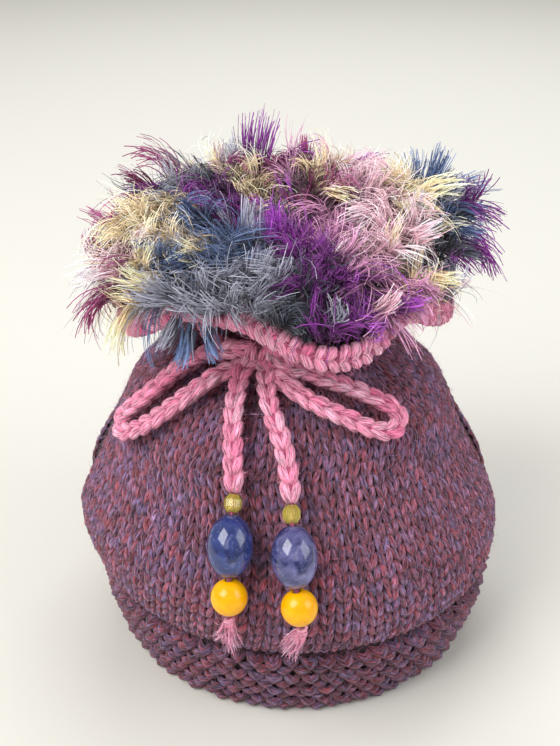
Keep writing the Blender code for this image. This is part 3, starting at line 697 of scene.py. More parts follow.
def base_sheet(name, front, material):
    """The knitted cloth itself, 2 mm thick, which the yarn strands lie on."""
    columns, rows = 72, 60
    share = np.linspace(0.0, 1.0, columns + 1)[None, :]
    arc = np.linspace(0.0, FULL_ARC - 0.6, rows + 1)[:, None]
    outer = on_panel(front, share, arc, -1.5)
    inner = on_panel(front, share, arc, -WALL)
    grid = np.stack([outer, inner])
    grid[..., 2] = np.maximum(grid[..., 2], 0.05)
    index = np.arange(grid[..., 0].size).reshape(grid.shape[:3])
    faces = []
    for layer, flip in ((index[0], False), (index[1], True)):
        quad = np.stack([layer[:-1, :-1], layer[:-1, 1:], layer[1:, 1:], layer[1:, :-1]], axis=-1)
        quad = quad.reshape(-1, 4)
        faces.append(quad[:, ::-1] if flip else quad)
    sides = [index[:, 0, :], index[:, 1:, -1], index[:, -1, -2::-1], index[:, -2:0:-1, 0]]
    rim = np.concatenate(sides, axis=1)
    after = np.roll(rim, -1, axis=1)
    faces.append(np.stack([rim[0], rim[1], after[1], after[0]], axis=-1))
    _, _, width = panel_span(front, np.interp(arc, ARC, STATIONS))
    strand = np.zeros(grid.shape)
    strand[..., 0] = share * width
    strand[..., 1] = arc
    return new_piece(name, grid.reshape(-1, 3), np.concatenate(faces), material, strand=strand.reshape(-1, 3))


def yarn_piece(name, grid, material, colours, tone, rng, wander, light, profile):
    """Strands of yarn whose dye wanders along them; profile darkens the ends, which lie in shade."""
    count = len(grid)
    shade = wool_shades(colours, tone[:, None] + rng.normal(0.0, wander, (count, 1)) * np.arange(5))
    shade = shade * rng.normal(*light, (count, 1, 1)) * np.array(profile)[None, :, None]
    return strand_piece(name, grid, material, np.clip(shade, 0.0, 1.0), rng.random(count) * 90.0, False)


def stitches(name, front, sizes, colours, material, seed):
    """Stockinette: each stitch shows its two legs, a V whose foot comes out of the stitch below."""
    rng = np.random.default_rng(seed)
    columns = round(WIDEST_ROW * MM / sizes.stitch_width)
    pitch = sizes.row_height / MM
    first = HEM_ARC + 0.2
    rows = int((FULL_ARC - 1.5 - first) / pitch)
    places = np.meshgrid(np.arange(columns), np.arange(rows), [-1.0, 1.0], indexing="ij")
    column, row, side = (part.ravel() for part in places)
    arc = first + pitch * (row + 0.3)
    share = (column + 0.5) / columns
    k = np.interp(arc, ARC, STATIONS)
    fit = np.clip(panel_span(front, k)[2] / columns / DRAWN_STITCH, 0.3, 1.1)
    x = side[:, None] * fit[:, None] * np.array([0.15, 0.68, 1.45, 2.08, 2.3])
    up = pitch * np.array([-0.5, -0.12, 0.35, 0.84, 1.22]) + 0.0 * x
    lift = np.array([-2.0, -1.0, -0.55, -0.7, -2.05]) + 0.0 * x
    radii = np.array([0.65, 1.2, 1.5, 1.38, 0.7]) * fit[:, None] * rng.normal(1.0, 0.07, (len(x), 1))
    # Stitches that are drawn together round the neck sink by up to 0.2 mm.
    lift = lift - 0.5 * (1.0 - np.sqrt(np.minimum(1.0, fit))[:, None])
    grid = knitted(front, share, arc, np.stack([x, up, lift], axis=-1), radii, rng)
    tone = np.zeros(len(x))
    for r in range(rows):
        here = row == r
        tone[here] = drifting(rng, here.sum(), 7)
    tone = np.clip(tone + rng.normal(0.0, 0.14, len(tone)), 0.0, 1.0)
    # The profile darkens each leg's buried ends as painted shade and lightens its crown up to 1.32 as painted
    # highlight.
    profile = (0.3, 0.9, 1.32, 1.15, 0.36)
    return yarn_piece(name, grid, material, colours, tone, rng, 0.07, (1.0, 0.17), profile)


def hem_bumps(name, front, sizes, colours, material, seed):
    """Garter stitch: rows of yarn arcs that lean up and down by turns, each half a stitch along."""
    rng = np.random.default_rng(seed)
    columns = round(WIDEST_HEM_ROW * MM / sizes.stitch_width)
    pitch = sizes.hem_row_height / MM
    rows = int((HEM_ARC + 1.0) / pitch)
    column, row = (part.ravel() for part in np.meshgrid(np.arange(columns), np.arange(rows), indexing="ij"))
    share = (column + 0.25 + 0.5 * (row % 2)) / columns
    arc = 2.0 + pitch * row + rng.normal(0.0, 0.2, len(row))
    way = np.where(row % 2 == 0, 1.0, -1.0)[:, None]
    x = np.array([-3.5, -2.1, 0.0, 2.1, 3.5]) * rng.normal(1.0, 0.08, (len(arc), 1))
    tilt = rng.normal(0.0, 0.3, (len(x), 1)) * np.array([-1.0, -0.6, 0.0, 0.6, 1.0])
    up = way * np.array([-1.15, -0.2, 0.5, -0.2, -1.15]) + tilt
    lift = np.array([-2.5, -0.75, 0.15, -0.75, -2.5]) + rng.normal(0.0, 0.3, (len(x), 1))
    radii = np.array([1.15, 1.7, 2.0, 1.7, 1.15]) * rng.normal(1.0, 0.1, (len(x), 1))
    grid = knitted(front, share, arc, np.stack([x, up, lift], axis=-1), radii, rng)
    grid[..., 2] = np.maximum(grid[..., 2], 0.1)
    tone = np.clip(drifting(rng, len(x), 6) + rng.normal(0.0, 0.1, len(x)), 0.0, 1.0)
    # The profile darkens each arc's buried ends as painted shade and lightens its crown a little as painted
    # highlight; the whole hem is drawn at 0.8 as painted shade under the body's overhang.
    profile = (0.4, 0.85, 1.08, 0.85, 0.4)
    return yarn_piece(name, grid, material, colours, tone, rng, 0.1, (0.8, 0.1), profile)


def selvedge(name, front, sizes, colours, material, seed):
    """The edge stitches of a panel: one slipped stitch every row up both of its sides."""
    rng = np.random.default_rng(seed)
    pitch = 1.25 * sizes.row_height / MM
    rows = int((FULL_ARC - 3.0) / pitch)
    row, edge = (part.ravel() for part in np.meshgrid(np.arange(rows), [0.0, 1.0], indexing="ij"))
    arc = 2.0 + pitch * row
    inward = np.where(edge == 0.0, 1.0, -1.0)[:, None]
    x = inward * np.array([0.9, 0.75, 0.7, 0.75, 0.9])
    up = pitch * np.array([-0.2, 0.1, 0.5, 0.9, 1.2]) + 0.0 * x
    lift = np.array([-1.9, -0.9, -0.6, -0.9, -1.9]) + 0.0 * x
    radii = np.array([0.6, 1.1, 1.25, 1.1, 0.6]) + 0.0 * x
    grid = knitted(front, edge, arc, np.stack([x, up, lift], axis=-1), radii, rng)
    tone = drifting(rng, len(x), 5)
    shade = wool_shades(colours, tone[:, None] + 0.0 * x)
    return strand_piece(name, grid, material, shade * 0.85, rng.random(len(x)) * 90.0, False)


def wool_hairs(name, front, sizes, colours, material, seed):
    """Loose hairs that stand off the wool, most of them short and a few long and pale."""
    rng = np.random.default_rng(seed)
    count = sizes.hair_count
    share = rng.random(count)
    arc = 1.0 + (FULL_ARC - 6.0) * rng.random(count) ** 0.9
    root = on_panel(front, share, arc, -0.9)
    out = unit(on_panel(front, share, arc, 1.0) - root)
    long = rng.random(count) < 0.006
    reach = np.where(long, 7.0 + 7.0 * rng.random(count), 1.8 + 2.6 * rng.random(count))
    lean = rng.normal(size=(count, 3))
    lean -= out * (lean * out).sum(axis=1, keepdims=True)
    away = unit(lean) * rng.uniform(0.5, 1.6, (count, 1)) + out
    curl = unit(rng.normal(size=(count, 3)))
    t = np.linspace(0.0, 1.0, 4)[None, :, None]
    flat = np.where(long, 0.75, 0.3)[:, None, None]
    path = root[:, None] + reach[:, None, None] * (
        unit(away)[:, None] * t + 0.35 * curl[:, None] * t * t - flat * out[:, None] * t * t
    )
    path[..., 2] = np.maximum(path[..., 2], 0.1)
    width = np.where(long, 0.18, 0.11) * rng.uniform(0.8, 1.2, count)
    shade = ramp_of([colours.wool_mauve, colours.wool_rose, colours.wool_lavender], rng.random(count))
    # The hairs are drawn 2.1 times as light as the wool's own mauve, rose and lavender, and the long ones 3
    # times: painted highlight where loose hairs catch the light.
    shade = np.clip(shade * np.where(long, 3.0, 2.1)[:, None], 0.0, 1.0)
    shade = np.broadcast_to(shade[:, None], (count, 4, 3))
    return strand_piece(name, ribbons(path, width, rng), material, shade, share * 50.0, False)


class CosyBodyBuilder(bpy.types.Operator):
    """Knit both halves of the body: cloth, stitches, hem, edges and loose hairs"""

    bl_idname = "tea_cosy.body"
    bl_label = "Knitted Body"

    def execute(self, context):
        sizes = context.scene.cosy_sizes
        colours = context.scene.cosy_colours
        fibres = (tuple(colours.wool_lavender), tuple(colours.wool_brick), tuple(colours.wool_dark))
        wool = knitted_wool("heathered wool, woollen-spun and hand-knitted", fibres, 0.95, 0.2, 0.75)
        # The cloth's colours, #2c1725 and the darkest wool fibre, are darker than the yarn's own: painted
        # shade between the stitches and inside the cosy.
        back = purl_side("heathered wool, purl side", linear("#2c1725"), colours.wool_dark)
        hair = knitted_wool("wool hairs, loose", fibres[:1], 0.9, 0.3, 0.4)
        for side, front, seed in (("front", True, 11), ("back", False, 12)):
            sheet = base_sheet("cloth_" + side, front, back)
            parts = [
                stitches("stitches_" + side, front, sizes, colours, wool, seed),
                hem_bumps("hem_" + side, front, sizes, colours, wool, seed + 20),
                selvedge("selvedge_" + side, front, sizes, colours, wool, seed + 40),
                wool_hairs("hairs_" + side, front, sizes, colours, hair, seed + 60),
            ]
            dress([sheet] + parts, "panel_" + side, "heather_wool")
        return {"FINISHED"}


def edging_line(azimuth):
    """The middle of the edging, and the two directions across it."""
    rim = surface(azimuth, LAST, -0.5 * WALL, pleats=False)
    before = surface(azimuth, LAST - 0.5, -0.5 * WALL, pleats=False)
    out = unit(rim - before)
    return rim + out * (EDGING_RADIUS + 0.65), out


def pink_shades(rng, colours, count, profile):
    tone = np.clip(rng.normal(0.62, 0.2, count), 0.0, 1.0)
    shade = ramp_of([tuple(colours.pink_deep), tuple(colours.pink_light)], tone)
    return np.clip(shade[:, None] * np.array(profile)[None, :, None], 0.0, 1.0)


def tube_piece(name, path, normals, radius, sides, material, tone):
    """One plain tube, the core that the strands of a cord are worked round."""
    rows = len(path)
    grid = tubes(path[None], normals[None], np.full((1, rows), radius), sides)
    shade = np.broadcast_to(np.array(tone), (1, rows, 3))
    return strand_piece(name, grid, material, shade, np.zeros(1), True)


def chain_grid(path, normals, pitch, scale, rng):
    """The strands of a crocheted chain: two legs a link on its face and one bump on its back."""
    length = path_length(path)
    count = max(1, round(length / pitch))
    pitch = length / count
    place = pitch * (np.arange(count) + 0.5)
    bends = np.linspace(0.0, 1.0, 7)
    girth = np.array([0.45, 0.9, 1.08, 1.12, 1.08, 0.9, 0.45])
    # Of a leg and of the bump: mm across and mm up at each bend, share of the link's length, thickness.
    leg = ((1.5, 1.85, 1.9, 1.6, 1.15, 0.75, 0.4), (-1.2, 0.1, 0.95, 1.35, 1.3, 0.8, -0.3), 1.0, 1.5)
    bump = ((0.0,) * 7, (-0.6, -1.3, -1.7, -1.8, -1.7, -1.3, -0.6), 0.8, 1.4)
    grids = []
    for side, (x, y, share, thick) in ((-1.0, leg), (1.0, leg), (0.0, bump)):
        along = place[:, None] + pitch * share * (1.55 * bends - 0.75)
        along = along + rng.normal(0.0, 0.1, (count, 1))
        line, up = walk(path, [normals], np.clip(along, 0.0, length))
        tangent = unit(np.gradient(line, axis=1))
        up = unit(up - tangent * (up * tangent).sum(axis=-1, keepdims=True))
        cross = np.cross(tangent, up)
        curve = line + scale * (side * np.array(x)[:, None] * cross + np.array(y)[:, None] * up)
        radii = scale * thick * girth * rng.normal(1.0, 0.05, (count, 1))
        grids.append(tubes(curve, up, radii, 8))
    return np.concatenate(grids)


class CosyEdgingBuilder(bpy.types.Operator):
    """Work the pink crocheted edging round the collar's rim"""

    bl_idname = "tea_cosy.edging"
    bl_label = "Collar Edging"

    def execute(self, context):
        colours = context.scene.cosy_colours
        rng = np.random.default_rng(31)
        pink = knitted_wool("pink wool, double crochet edging", (colours.pink_deep,), 0.9, 0.3, 0.7)
        around = 96
        middle, out = edging_line(np.linspace(0.0, 360.0, 145))
        up = np.cross(unit(np.gradient(middle, axis=0)), out)
        # The core is drawn at half the deepest pink: painted shade inside the edging's loops.
        core = tube_piece("edging_core", middle, up, 3.0, 12, pink, np.array(colours.pink_deep) * 0.5)
        grids = []
        for way in (1.0, -1.0):
            angle = np.radians(way * np.array([-14.0, 14.0, 48.0, 84.0, 120.0, 150.0, 170.0]))
            slide = np.array([0.0, 0.35, 0.6, 0.78, 0.9, 0.96, 1.0]) * 4.6
            reach = np.array([1.7, 2.45, 2.75, 2.75, 2.7, 2.4, 1.8])
            azimuth = 360.0 * (np.arange(around)[:, None] + rng.normal(0.0, 0.06, (around, 1))) / around
            azimuth = azimuth + np.degrees(slide / 58.0) * 0.85
            centre, out = edging_line(azimuth)
            tangent = unit(np.cross(np.array([0.0, 0.0, 1.0]), out))
            up = np.cross(tangent, out)
            away = out * np.cos(angle)[:, None] - up * np.sin(angle)[:, None]
            path = centre + away * reach[:, None]
            radii = np.array([0.8, 1.55, 1.85, 1.85, 1.8, 1.5, 0.8]) * rng.normal(1.0, 0.06, (around, 1))
            grids.append(tubes(path, away, radii, 8))
        grid = np.concatenate(grids)
        # The profile darkens each loop's ends as painted shade where they go under the next loop, with a
        # slight painted highlight on its crown.
        shade = pink_shades(rng, colours, len(grid), (0.62, 0.9, 1.06, 1.1, 1.05, 0.9, 0.62))
        loops = strand_piece("edging_loops", grid, pink, shade, rng.random(len(grid)) * 60.0, True)
        hairs = fuzz("edging_fuzz", grid, 7000, colours, pink, rng)
        dress((core, loops, hairs), "collar_edging", "pink_wool")
        return {"FINISHED"}


def fuzz(name, grid, count, colours, material, rng):
    """Short soft hairs that stand off the strands of a cord or edging."""
    strand, row, spot = (rng.integers(0, size, count) for size in grid.shape[:3])
    row = np.clip(row, 1, grid.shape[1] - 2)
    root = grid[strand, row, spot]
    out = unit(root - grid.mean(axis=2)[strand, row])
    t = np.linspace(0.0, 1.0, 4)[None, :, None]
    way = unit(out + rng.normal(0.0, 0.9, (count, 3)))
    curl = rng.normal(0.0, 0.5, (count, 3))
    path = root[:, None] + rng.uniform(1.0, 2.7, (count, 1, 1)) * (way[:, None] * t + curl[:, None] * t * t)
    shade = pink_shades(rng, colours, count, (0.9, 1.0, 1.1, 1.15))
    widths = rng.uniform(0.07, 0.11, count)
    return strand_piece(name, ribbons(path, widths, rng), material, shade, rng.random(count) * 60.0, False)


def in_knot(x, y, z):
    out = turn(KNOT_AZIMUTH)
    across = np.array([-out[1], out[0], 0.0])
    return out * (KNOT_RADIUS + y) + across * x + np.array([0.0, 0.0, KNOT_HEIGHT + z])


def on_body(azimuth, height, lift):
    return surface(azimuth, station(height), lift, pleats=False)


def route(key, table):
    """A strand's centreline and what is outside of it: knot points, then the rows of its table."""
    knots = KNOT_POINTS[key]
    start = [in_knot(*row) for row in knots[:2]]
    end = [in_knot(*row) for row in knots[2:]]
    line = start + [on_body(*row) for row in table] + end
    far = [in_knot(x, y + 1.0, z) for x, y, z in knots[:2]]
    far += [on_body(azimuth, height, lift + 1.0) for azimuth, height, lift in table]
    far += [in_knot(x, y + 1.0, z) for x, y, z in knots[2:]]
    return smooth_path(line, 6), smooth_path(far, 6)


def step_down(azimuth, height, lift, start, length):
    """The point of the hanging strand that is this far from the start, lower on the body."""
    while True:
        height -= 0.05
        point = on_body(azimuth, height, lift)
        if np.linalg.norm(point - start) >= length:
            return point, height


def bead_places(side, table):
    """Where each bead's top and bottom holes lie on a tail, and the two ends of the knot below them."""
    azimuth, height = table[-1][:2]
    spot = on_body(*table[-1])
    places = {}
    for i, (name, length, radius, lift_top, lift_low) in enumerate(BEADS):
        top, height = step_down(azimuth, height, lift_top, spot, 0.3 + (0.6 if i else 1.2))
        azimuth = DRIFTS[side][i]
        bottom, height = step_down(azimuth, height, lift_low, top, length)
        places[name] = (top, bottom)
        spot = bottom
    knot, height = step_down(azimuth, height, 6.8, spot, 2.9)
    end, height = step_down(azimuth, height, 6.4, knot, 2.2)
    return places, knot, end


def free_cord(piece, path, parts):
    """Works out the length and points of a free length of the cord and a list of its pieces, and keeps none
    of them.
    """
    path_length(path) * MM
    [tuple(p) for p in path * MM]
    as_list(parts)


def cord_piece(name, path, normals, sizes, colours, material, rng, scale=1.0):
    """A length of crocheted chain round its own core."""
    grid = chain_grid(path, normals, sizes.chain_pitch / MM * scale, scale, rng)
    # The profile darkens each link's ends as painted shade where they go under the next link, with a slight
    # painted highlight on its crown.
    shade = pink_shades(rng, colours, len(grid), (0.6, 0.92, 1.05, 1.1, 1.06, 0.95, 0.62))
    piece = strand_piece(name, grid, material, shade, rng.random(len(grid)) * 60.0, True)
    # The core is drawn at 0.6 of the deepest pink: painted shade inside the chain.
    dark = np.array(colours.pink_deep) * 0.6
    inner = tube_piece(name + "_core", path, normals, 1.9 * scale, 8, material, dark)
    hairs = fuzz(name + "_fuzz", grid, round(15.0 * path_length(path)), colours, material, rng)
    dress((piece, inner, hairs), "drawstring", "pink_wool")
    return piece, [inner, hairs]


def tuft(name, knot, end, lean, colours, material, plies_material, rng):
    """A frayed end: a small hard knot and the yarn's plies opened below it."""
    along = unit(end - knot)
    out = unit(np.array([end[0], end[1], 0.0]))
    cross = unit(np.cross(along, out))
    turns = 2 * np.pi * np.linspace(0.0, 1.0, 9)
    rings = []
    for shift, tilt in ((-0.9, 0.5), (0.5, -0.5), (1.6, 0.4)):
        centre = knot + along * shift
        rings.append([
            centre + 1.1 * (cross * math.cos(a) + out * math.sin(a)) + along * tilt * math.cos(a)
            for a in turns
        ])
    rings = np.array(rings)
    hard = tubes(rings, np.broadcast_to(along, rings.shape), np.full(rings.shape[:2], 0.85), 8)
    shade = pink_shades(rng, colours, 3, np.ones(9))
    knot_piece = strand_piece(name + "_knot", hard, material, shade, rng.random(3) * 60.0, True)
    count = 380
    # Each filament belongs to one of five plies, which have their own spread and length.
    ply = rng.integers(0, 5, count)
    spread = np.array([(-0.12, 0.1), (0.0, 0.3), (0.1, 0.0), (0.5, 0.25), (0.62, 0.1)])[ply]
    spread = spread + rng.normal(0.0, 0.12, (count, 2))
    reach = (11.0 * np.array([0.85, 1.0, 0.92, 0.8, 0.66]))[ply] * rng.uniform(0.75, 1.08, count)
    away = unit(along + lean * cross + cross * spread[:, :1] + out * spread[:, 1:])
    t = np.linspace(0.0, 1.0, 5)[None, :, None]
    wave = rng.normal(size=(count, 1, 3)) * 0.5
    root = end - 1.2 * along + rng.normal(0.0, 0.75, (count, 3))
    path = root[:, None] + away[:, None] * t * reach[:, None, None]
    path = path + wave * np.sin(np.pi * t * 1.4) - out * 1.3 * t * t
    shades = pink_shades(rng, colours, count, (1.0, 1.15, 1.25, 1.3, 1.35))
    grid = ribbons(path, rng.uniform(0.3, 0.45, count), rng)
    ends = strand_piece(name + "_ends", grid, plies_material, shades, rng.random(count) * 60.0, False)
    dress((knot_piece, ends), "drawstring", "pink_wool")
    return [knot_piece, ends]


class CosyBowBuilder(bpy.types.Operator):
    """Crochet the cord round the neck and tie it in a bow with two hanging ends"""

    bl_idname = "tea_cosy.bow"
    bl_label = "Drawstring and Bow"

    def execute(self, context):
        sizes = context.scene.cosy_sizes
        colours = context.scene.cosy_colours
        rng = np.random.default_rng(41)
        pink = knitted_wool("pink wool, crocheted chain", (colours.pink_deep,), 0.9, 0.3, 0.7)
        frayed = knitted_wool("pink wool, frayed plies", (colours.pink_deep,), 0.9, 0.4, 0.2)
        azimuth = KNOT_AZIMUTH + np.linspace(5.0, 355.0, 180)
        ring = turn(azimuth) * RING_RADIUS + UP * RING_HEIGHT
        cord_piece("neck_cord", ring, turn(azimuth), sizes, colours, pink, rng)
        angles = np.linspace(0.0, 2 * np.pi, 40)
        for name, x, wide in (("knot_wrap_left", -2.7, 0.86), ("knot_wrap_right", 2.6, 0.84)):
            loop = np.array([
                in_knot(x + 0.5 * math.sin(a), 2.4 * math.cos(a) * wide + 0.2, 3.3 * math.sin(a))
                for a in angles
            ])
            cord_piece(name, loop, loop - in_knot(x, 0.0, 0.0), sizes, colours, pink, rng, scale=0.74)
        for side, table in (("left", LOOP_LEFT), ("right", LOOP_RIGHT)):
            path, far = route("loop_" + side, table)
            loop, parts = cord_piece("bow_loop_" + side, path, far - path, sizes, colours, pink, rng)
            free_cord(loop, path, parts)
        for side, table, lean in (("left", TAIL_LEFT, 0.0), ("right", TAIL_RIGHT, 0.42)):
            path, far = route("tail_" + side, table)
            tail, parts = cord_piece("bow_tail_" + side, path, far - path, sizes, colours, pink, rng)
            places, knot, end = bead_places(side, table)
            holes = [hole for pair in places.values() for hole in pair]
            line = smooth_path([path[-1], *holes, knot, end], 4)
            facing = np.broadcast_to(turn(0.0), line.shape)
            # The core is drawn at 0.3 of the deepest pink: painted shade where it shows between the beads and
            # in their bores.
            dark = np.array(colours.pink_deep) * 0.3
            core = tube_piece("tail_core_" + side, line, facing, 0.9, 8, pink, dark)
            dress([core], "drawstring", "pink_wool")
            parts = parts + [core] + tuft("tuft_" + side, knot, end, lean, colours, pink, frayed, rng)
            free_cord(tail, path, parts)
        return {"FINISHED"}


def faceted_profile(half, radius):
    """The section of a glass bead, bevelled at both ends, with a straight bore."""
    corners = ((0.62, 1.0), (1.0, 0.42), (1.0, -0.42), (0.62, -1.0))
    profile = [(radius * r, half * z) for r, z in corners]
    return profile + [(BORE_RADIUS, -half), (BORE_RADIUS, half)]


def rounded_profile(half, radius):
    """The section of a round or oval bead, with a bore that widens towards its holes."""
    swings = np.pi * np.linspace(0.43, -0.43, 33)
    rise = np.sin(swings) / math.sin(0.43 * math.pi)
    profile = [(radius * r, half * z) for r, z in zip(np.cos(swings), rise)]
    return profile + [(1.15, -half + 0.5), (1.0, 0.0), (1.15, half - 0.5)]


def bead_piece(node, slot, place, profile, sides, material, colour, sharp=False):
    """A bored bead, turned round the line between its holes from a closed profile of radius and rise."""
    top, bottom = (Vector(end) for end in place)
    name = "shown_" + node
    mesh = bpy.data.meshes.new(name)
    count = len(profile)
    edges = [(i, (i + 1) % count) for i in range(count)]
    mesh.from_pydata([(r * MM, 0.0, z * MM) for r, z in profile], edges, [])
    mesh.materials.append(material)
    obj = bpy.data.objects.new(name, mesh)
    bpy.context.scene.collection.objects.link(obj)
    obj.location = (top + bottom) * 0.5 * MM
    obj.rotation_euler = (top - bottom).to_track_quat("Z", "Y").to_euler()
    spin = obj.modifiers.new("turned", "SCREW")
    spin.axis = "Z"
    spin.steps = sides
    spin.render_steps = sides
    spin.use_merge_vertices = True
    spin.merge_threshold = 0.01 * MM
    spin.use_smooth_shade = not sharp
    if sharp:
        soft = obj.modifiers.new("softened edges", "BEVEL")
        soft.width = 0.12 * MM
        soft.segments = 2
        soft.angle_limit = math.radians(25.0)
    bpy.context.view_layer.update()
    solid = bpy.data.meshes.new_from_object(obj.evaluated_get(bpy.context.evaluated_depsgraph_get()))
    obj.modifiers.clear()
    obj.data = solid
    layer = solid.color_attributes.new("yarn", "FLOAT_COLOR", "POINT")
    layer.data.foreach_set("color", [*colour, 1.0] * len(solid.vertices))
    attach(obj, BODY_NAME)
    dress([obj], node, slot)


class CosyBeadBuilder(bpy.types.Operator):
    """Thread a glass, a stone and a round bead on each end of the cord"""

    bl_idname = "tea_cosy.beads"
    bl_label = "Beads"

    def execute(self, context):
        colours = context.scene.cosy_colours
        glass = pressed_glass("pressed glass, yellow-green", colours.bead_glass)
        stone = polished_stone("polished stone, mottled blue", linear("#1a2456"), linear("#a6a8c8"))
        paste = glossy_bead("fire-polished glass paste, yellow", colours.bead_round, linear("#f59a00"))
        tones = {"left": tuple(colours.bead_stone), "right": linear("#716fa6")}
        for side, table in (("left", TAIL_LEFT), ("right", TAIL_RIGHT)):
            places = bead_places(side, table)[0]
            for name, length, radius, _, _ in BEADS:
                node = "%s_%s" % (name, side)
                if name == "bead_glass":
                    profile = faceted_profile(0.5 * length, radius)
                    bead_piece(node, name, places[name], profile, 7, glass, (1.0, 1.0, 1.0), sharp=True)
                    continue
                profile = rounded_profile(0.5 * length, radius)
                shown, slot = (stone, name) if name == "bead_stone" else (paste, "bead_yellow")
                bead_piece(node, slot, places[name], profile, 48, shown, tones[side])
        return {"FINISHED"}


def frill_profile(azimuth):
    """The frill's slab in one direction, from below its middle, round the rim, to its top."""
    rim, _ = edging_line(np.asarray(azimuth, dtype=float))
    reach = np.hypot(rim[..., 0], rim[..., 1])
    height = rim[..., 2]
    back = 0.5 - 0.5 * np.cos(np.radians(azimuth))
    side = np.maximum(0.0, -np.sin(np.radians(azimuth))) ** 2
    lump = np.array([
        2.6 * noise.noise(Vector((2.1 * x, 2.1 * y, 7.0))) for x, y, _ in turn(np.ravel(azimuth))
    ]).reshape(np.shape(azimuth))
    collar = [surface(azimuth, NECK_RING + row, -WALL - 1.0, pleats=False) for row in (1, 2, 3)]
    centre, spread, depth = FRILL_DRAWN_IN
    away = np.abs((np.asarray(azimuth) - centre + 180.0) % 360.0 - 180.0) / spread
    drawn = depth * (0.5 + 0.5 * np.cos(np.pi * np.minimum(1.0, away)))
    rows = [(9.0 + 0.0 * reach, 127.6 + 0.0 * reach)]
    rows += [(np.hypot(p[..., 0], p[..., 1]), p[..., 2]) for p in collar]
    rows += [
        (reach - 6.0 - drawn, height + EDGING_RADIUS - 0.6),
        (reach - 3.5 + 4.0 * side - drawn, height + EDGING_RADIUS + 0.9),
        (reach - 3.0 + 7.0 * side - drawn, height + EDGING_RADIUS + 4.0),
        (50.0 + 6.0 * side - 0.6 * drawn, 152.0 + 0.45 * (height - 138.0) + 9.0 * back + lump),
        (45.0 + 3.0 * side, 157.0 + 10.0 * back + lump), (37.0, 158.5 + 9.0 * back + lump),
        (29.0, 156.5 + 7.0 * back + lump), (20.5, 152.5 + 3.0 * back + lump), (12.0, 150.0 + lump),
        (2.0, 149.0 + 0.4 * lump),
    ]
    radius = np.stack([r + 0.0 * reach for r, _ in rows], axis=-1)
    return radius, np.stack([z + 0.0 * reach for _, z in rows], axis=-1)


def patch_colour(x, y, table, rng, stray):
    """The frill's colours at places seen from above, with ragged borders between the patches."""
    cost = np.full((len(x), len(PATCHES)), 1e9)
    for i, (px, py, reach, _) in enumerate(PATCHES):
        cost[:, i] = np.hypot(x - px, y - py) - reach + rng.normal(0.0, stray, len(x))
    names = np.array([FRILL_NAMES.index(patch[3]) for patch in PATCHES])
    return table[names[cost.argmin(axis=1)]]


def frill_top(x, y):
    """Height of the frill's slab above a place."""
    azimuth = np.degrees(np.arctan2(x, -y))
    radius, height = frill_profile(azimuth)
    away = np.hypot(x, y)
    return np.array([
        np.interp(a, r[:5:-1], h[:5:-1]) for a, r, h in zip(away, radius, height)
    ])


def bared(azimuth):
    """How far the frill is pushed back off the edging at an azimuth, from 0 to 1."""
    share = 0.0 * azimuth
    for centre, wide in ((-62.0, 17.0), (4.0, 27.0), (74.0, 34.0)):
        share = np.maximum(share, 1.0 - blend(0.6 * wide, 1.2 * wide, np.abs(azimuth - centre)))
    return share


def locks(roots, aims, reach, tones, fibres, width, rng, bend=(0.2, 1.9), droop=0.22, fan=0.12, girth=0.9,
          shortest=0.55):
    """Filaments in locks: each lock is an arc that bends its own way, hangs a little and opens like a fan."""
    count = len(roots)
    side = unit(np.cross(aims, rng.normal(size=(count, 3))))
    turned = rng.uniform(*bend, count)
    which = np.repeat(np.arange(count), fibres)
    total = len(which)
    t = np.linspace(0.0, 1.0, 7)[None, :]
    span = np.maximum(turned[which] * rng.normal(1.0, 0.2, total), 0.05)[:, None]
    length = (reach[which] * rng.uniform(shortest, 1.1, total))[:, None]
    way = unit(aims[which] + rng.normal(0.0, fan, (total, 3)))
    forward = length * np.sin(span * t) / span
    sideways = length * (1.0 - np.cos(span * t)) / span
    path = roots[which][:, None] + rng.normal(0.0, girth, (total, 1, 3))
    path = path + forward[..., None] * way[:, None] + sideways[..., None] * side[which][:, None]
    wave = np.sin(2 * np.pi * (rng.uniform(0.6, 1.4, (total, 1)) * t + rng.random((total, 1))))
    path = path + (0.3 * wave * t)[..., None] * rng.normal(size=(total, 1, 3))
    path[..., 2] -= np.broadcast_to(droop, count)[which][:, None] * length * t * t
    shade = tones[which] * rng.normal(1.0, 0.14, (total, 1))
    # Along each filament, 0.22 at the root to 1.4 at the tip: painted shade deep in the fur and painted
    # highlight on the tips.
    shade = shade[:, None] * np.array([0.22, 0.42, 0.72, 1.0, 1.2, 1.32, 1.4])[None, :, None]
    return path, np.clip(shade, 0.0, 1.0), width * rng.uniform(0.75, 1.3, total)


def scattered(rng, spacing, limit):
    """Places on a jittered grid within a circle round the middle."""
    line = np.arange(-limit, limit + 0.1, spacing)
    across, deep = np.meshgrid(line, line)
    across[::2] += 0.5 * spacing
    x = across.ravel() + rng.normal(0.0, 0.25 * spacing, across.size)
    y = deep.ravel() + rng.normal(0.0, 0.25 * spacing, across.size)
    inside = np.hypot(x, y) < limit
    return x[inside], y[inside]


def frill_bed(rng, table, material):
    """The slab that the locks grow from, 2.5 mm below the top of its solid, drawn dark as painted shade under
    the locks.
    """
    azimuth = np.linspace(0.0, 360.0, 97)[:-1]
    radius, height = frill_profile(azimuth)
    slab = turn(azimuth)[:, None] * radius[..., None]
    slab[..., 2] = height
    index = np.arange(slab[..., 0].size).reshape(slab.shape[:2])
    index = np.concatenate([index, index[:1]])
    faces = np.stack([index[:-1, :-1], index[1:, :-1], index[1:, 1:], index[:-1, 1:]], axis=-1)
    flat = slab.reshape(-1, 3)
    # The bed takes the patches' colours at 0.12 of their light: painted shade deep under the locks.
    shade = patch_colour(flat[:, 0], flat[:, 1], table, rng, 0.5) * 0.12
    flat = flat - 2.5 * UP * (flat[:, 2:] > 149.5)
    return new_piece("frill_bed", flat, faces.reshape(-1, 4), material, shade, flat)


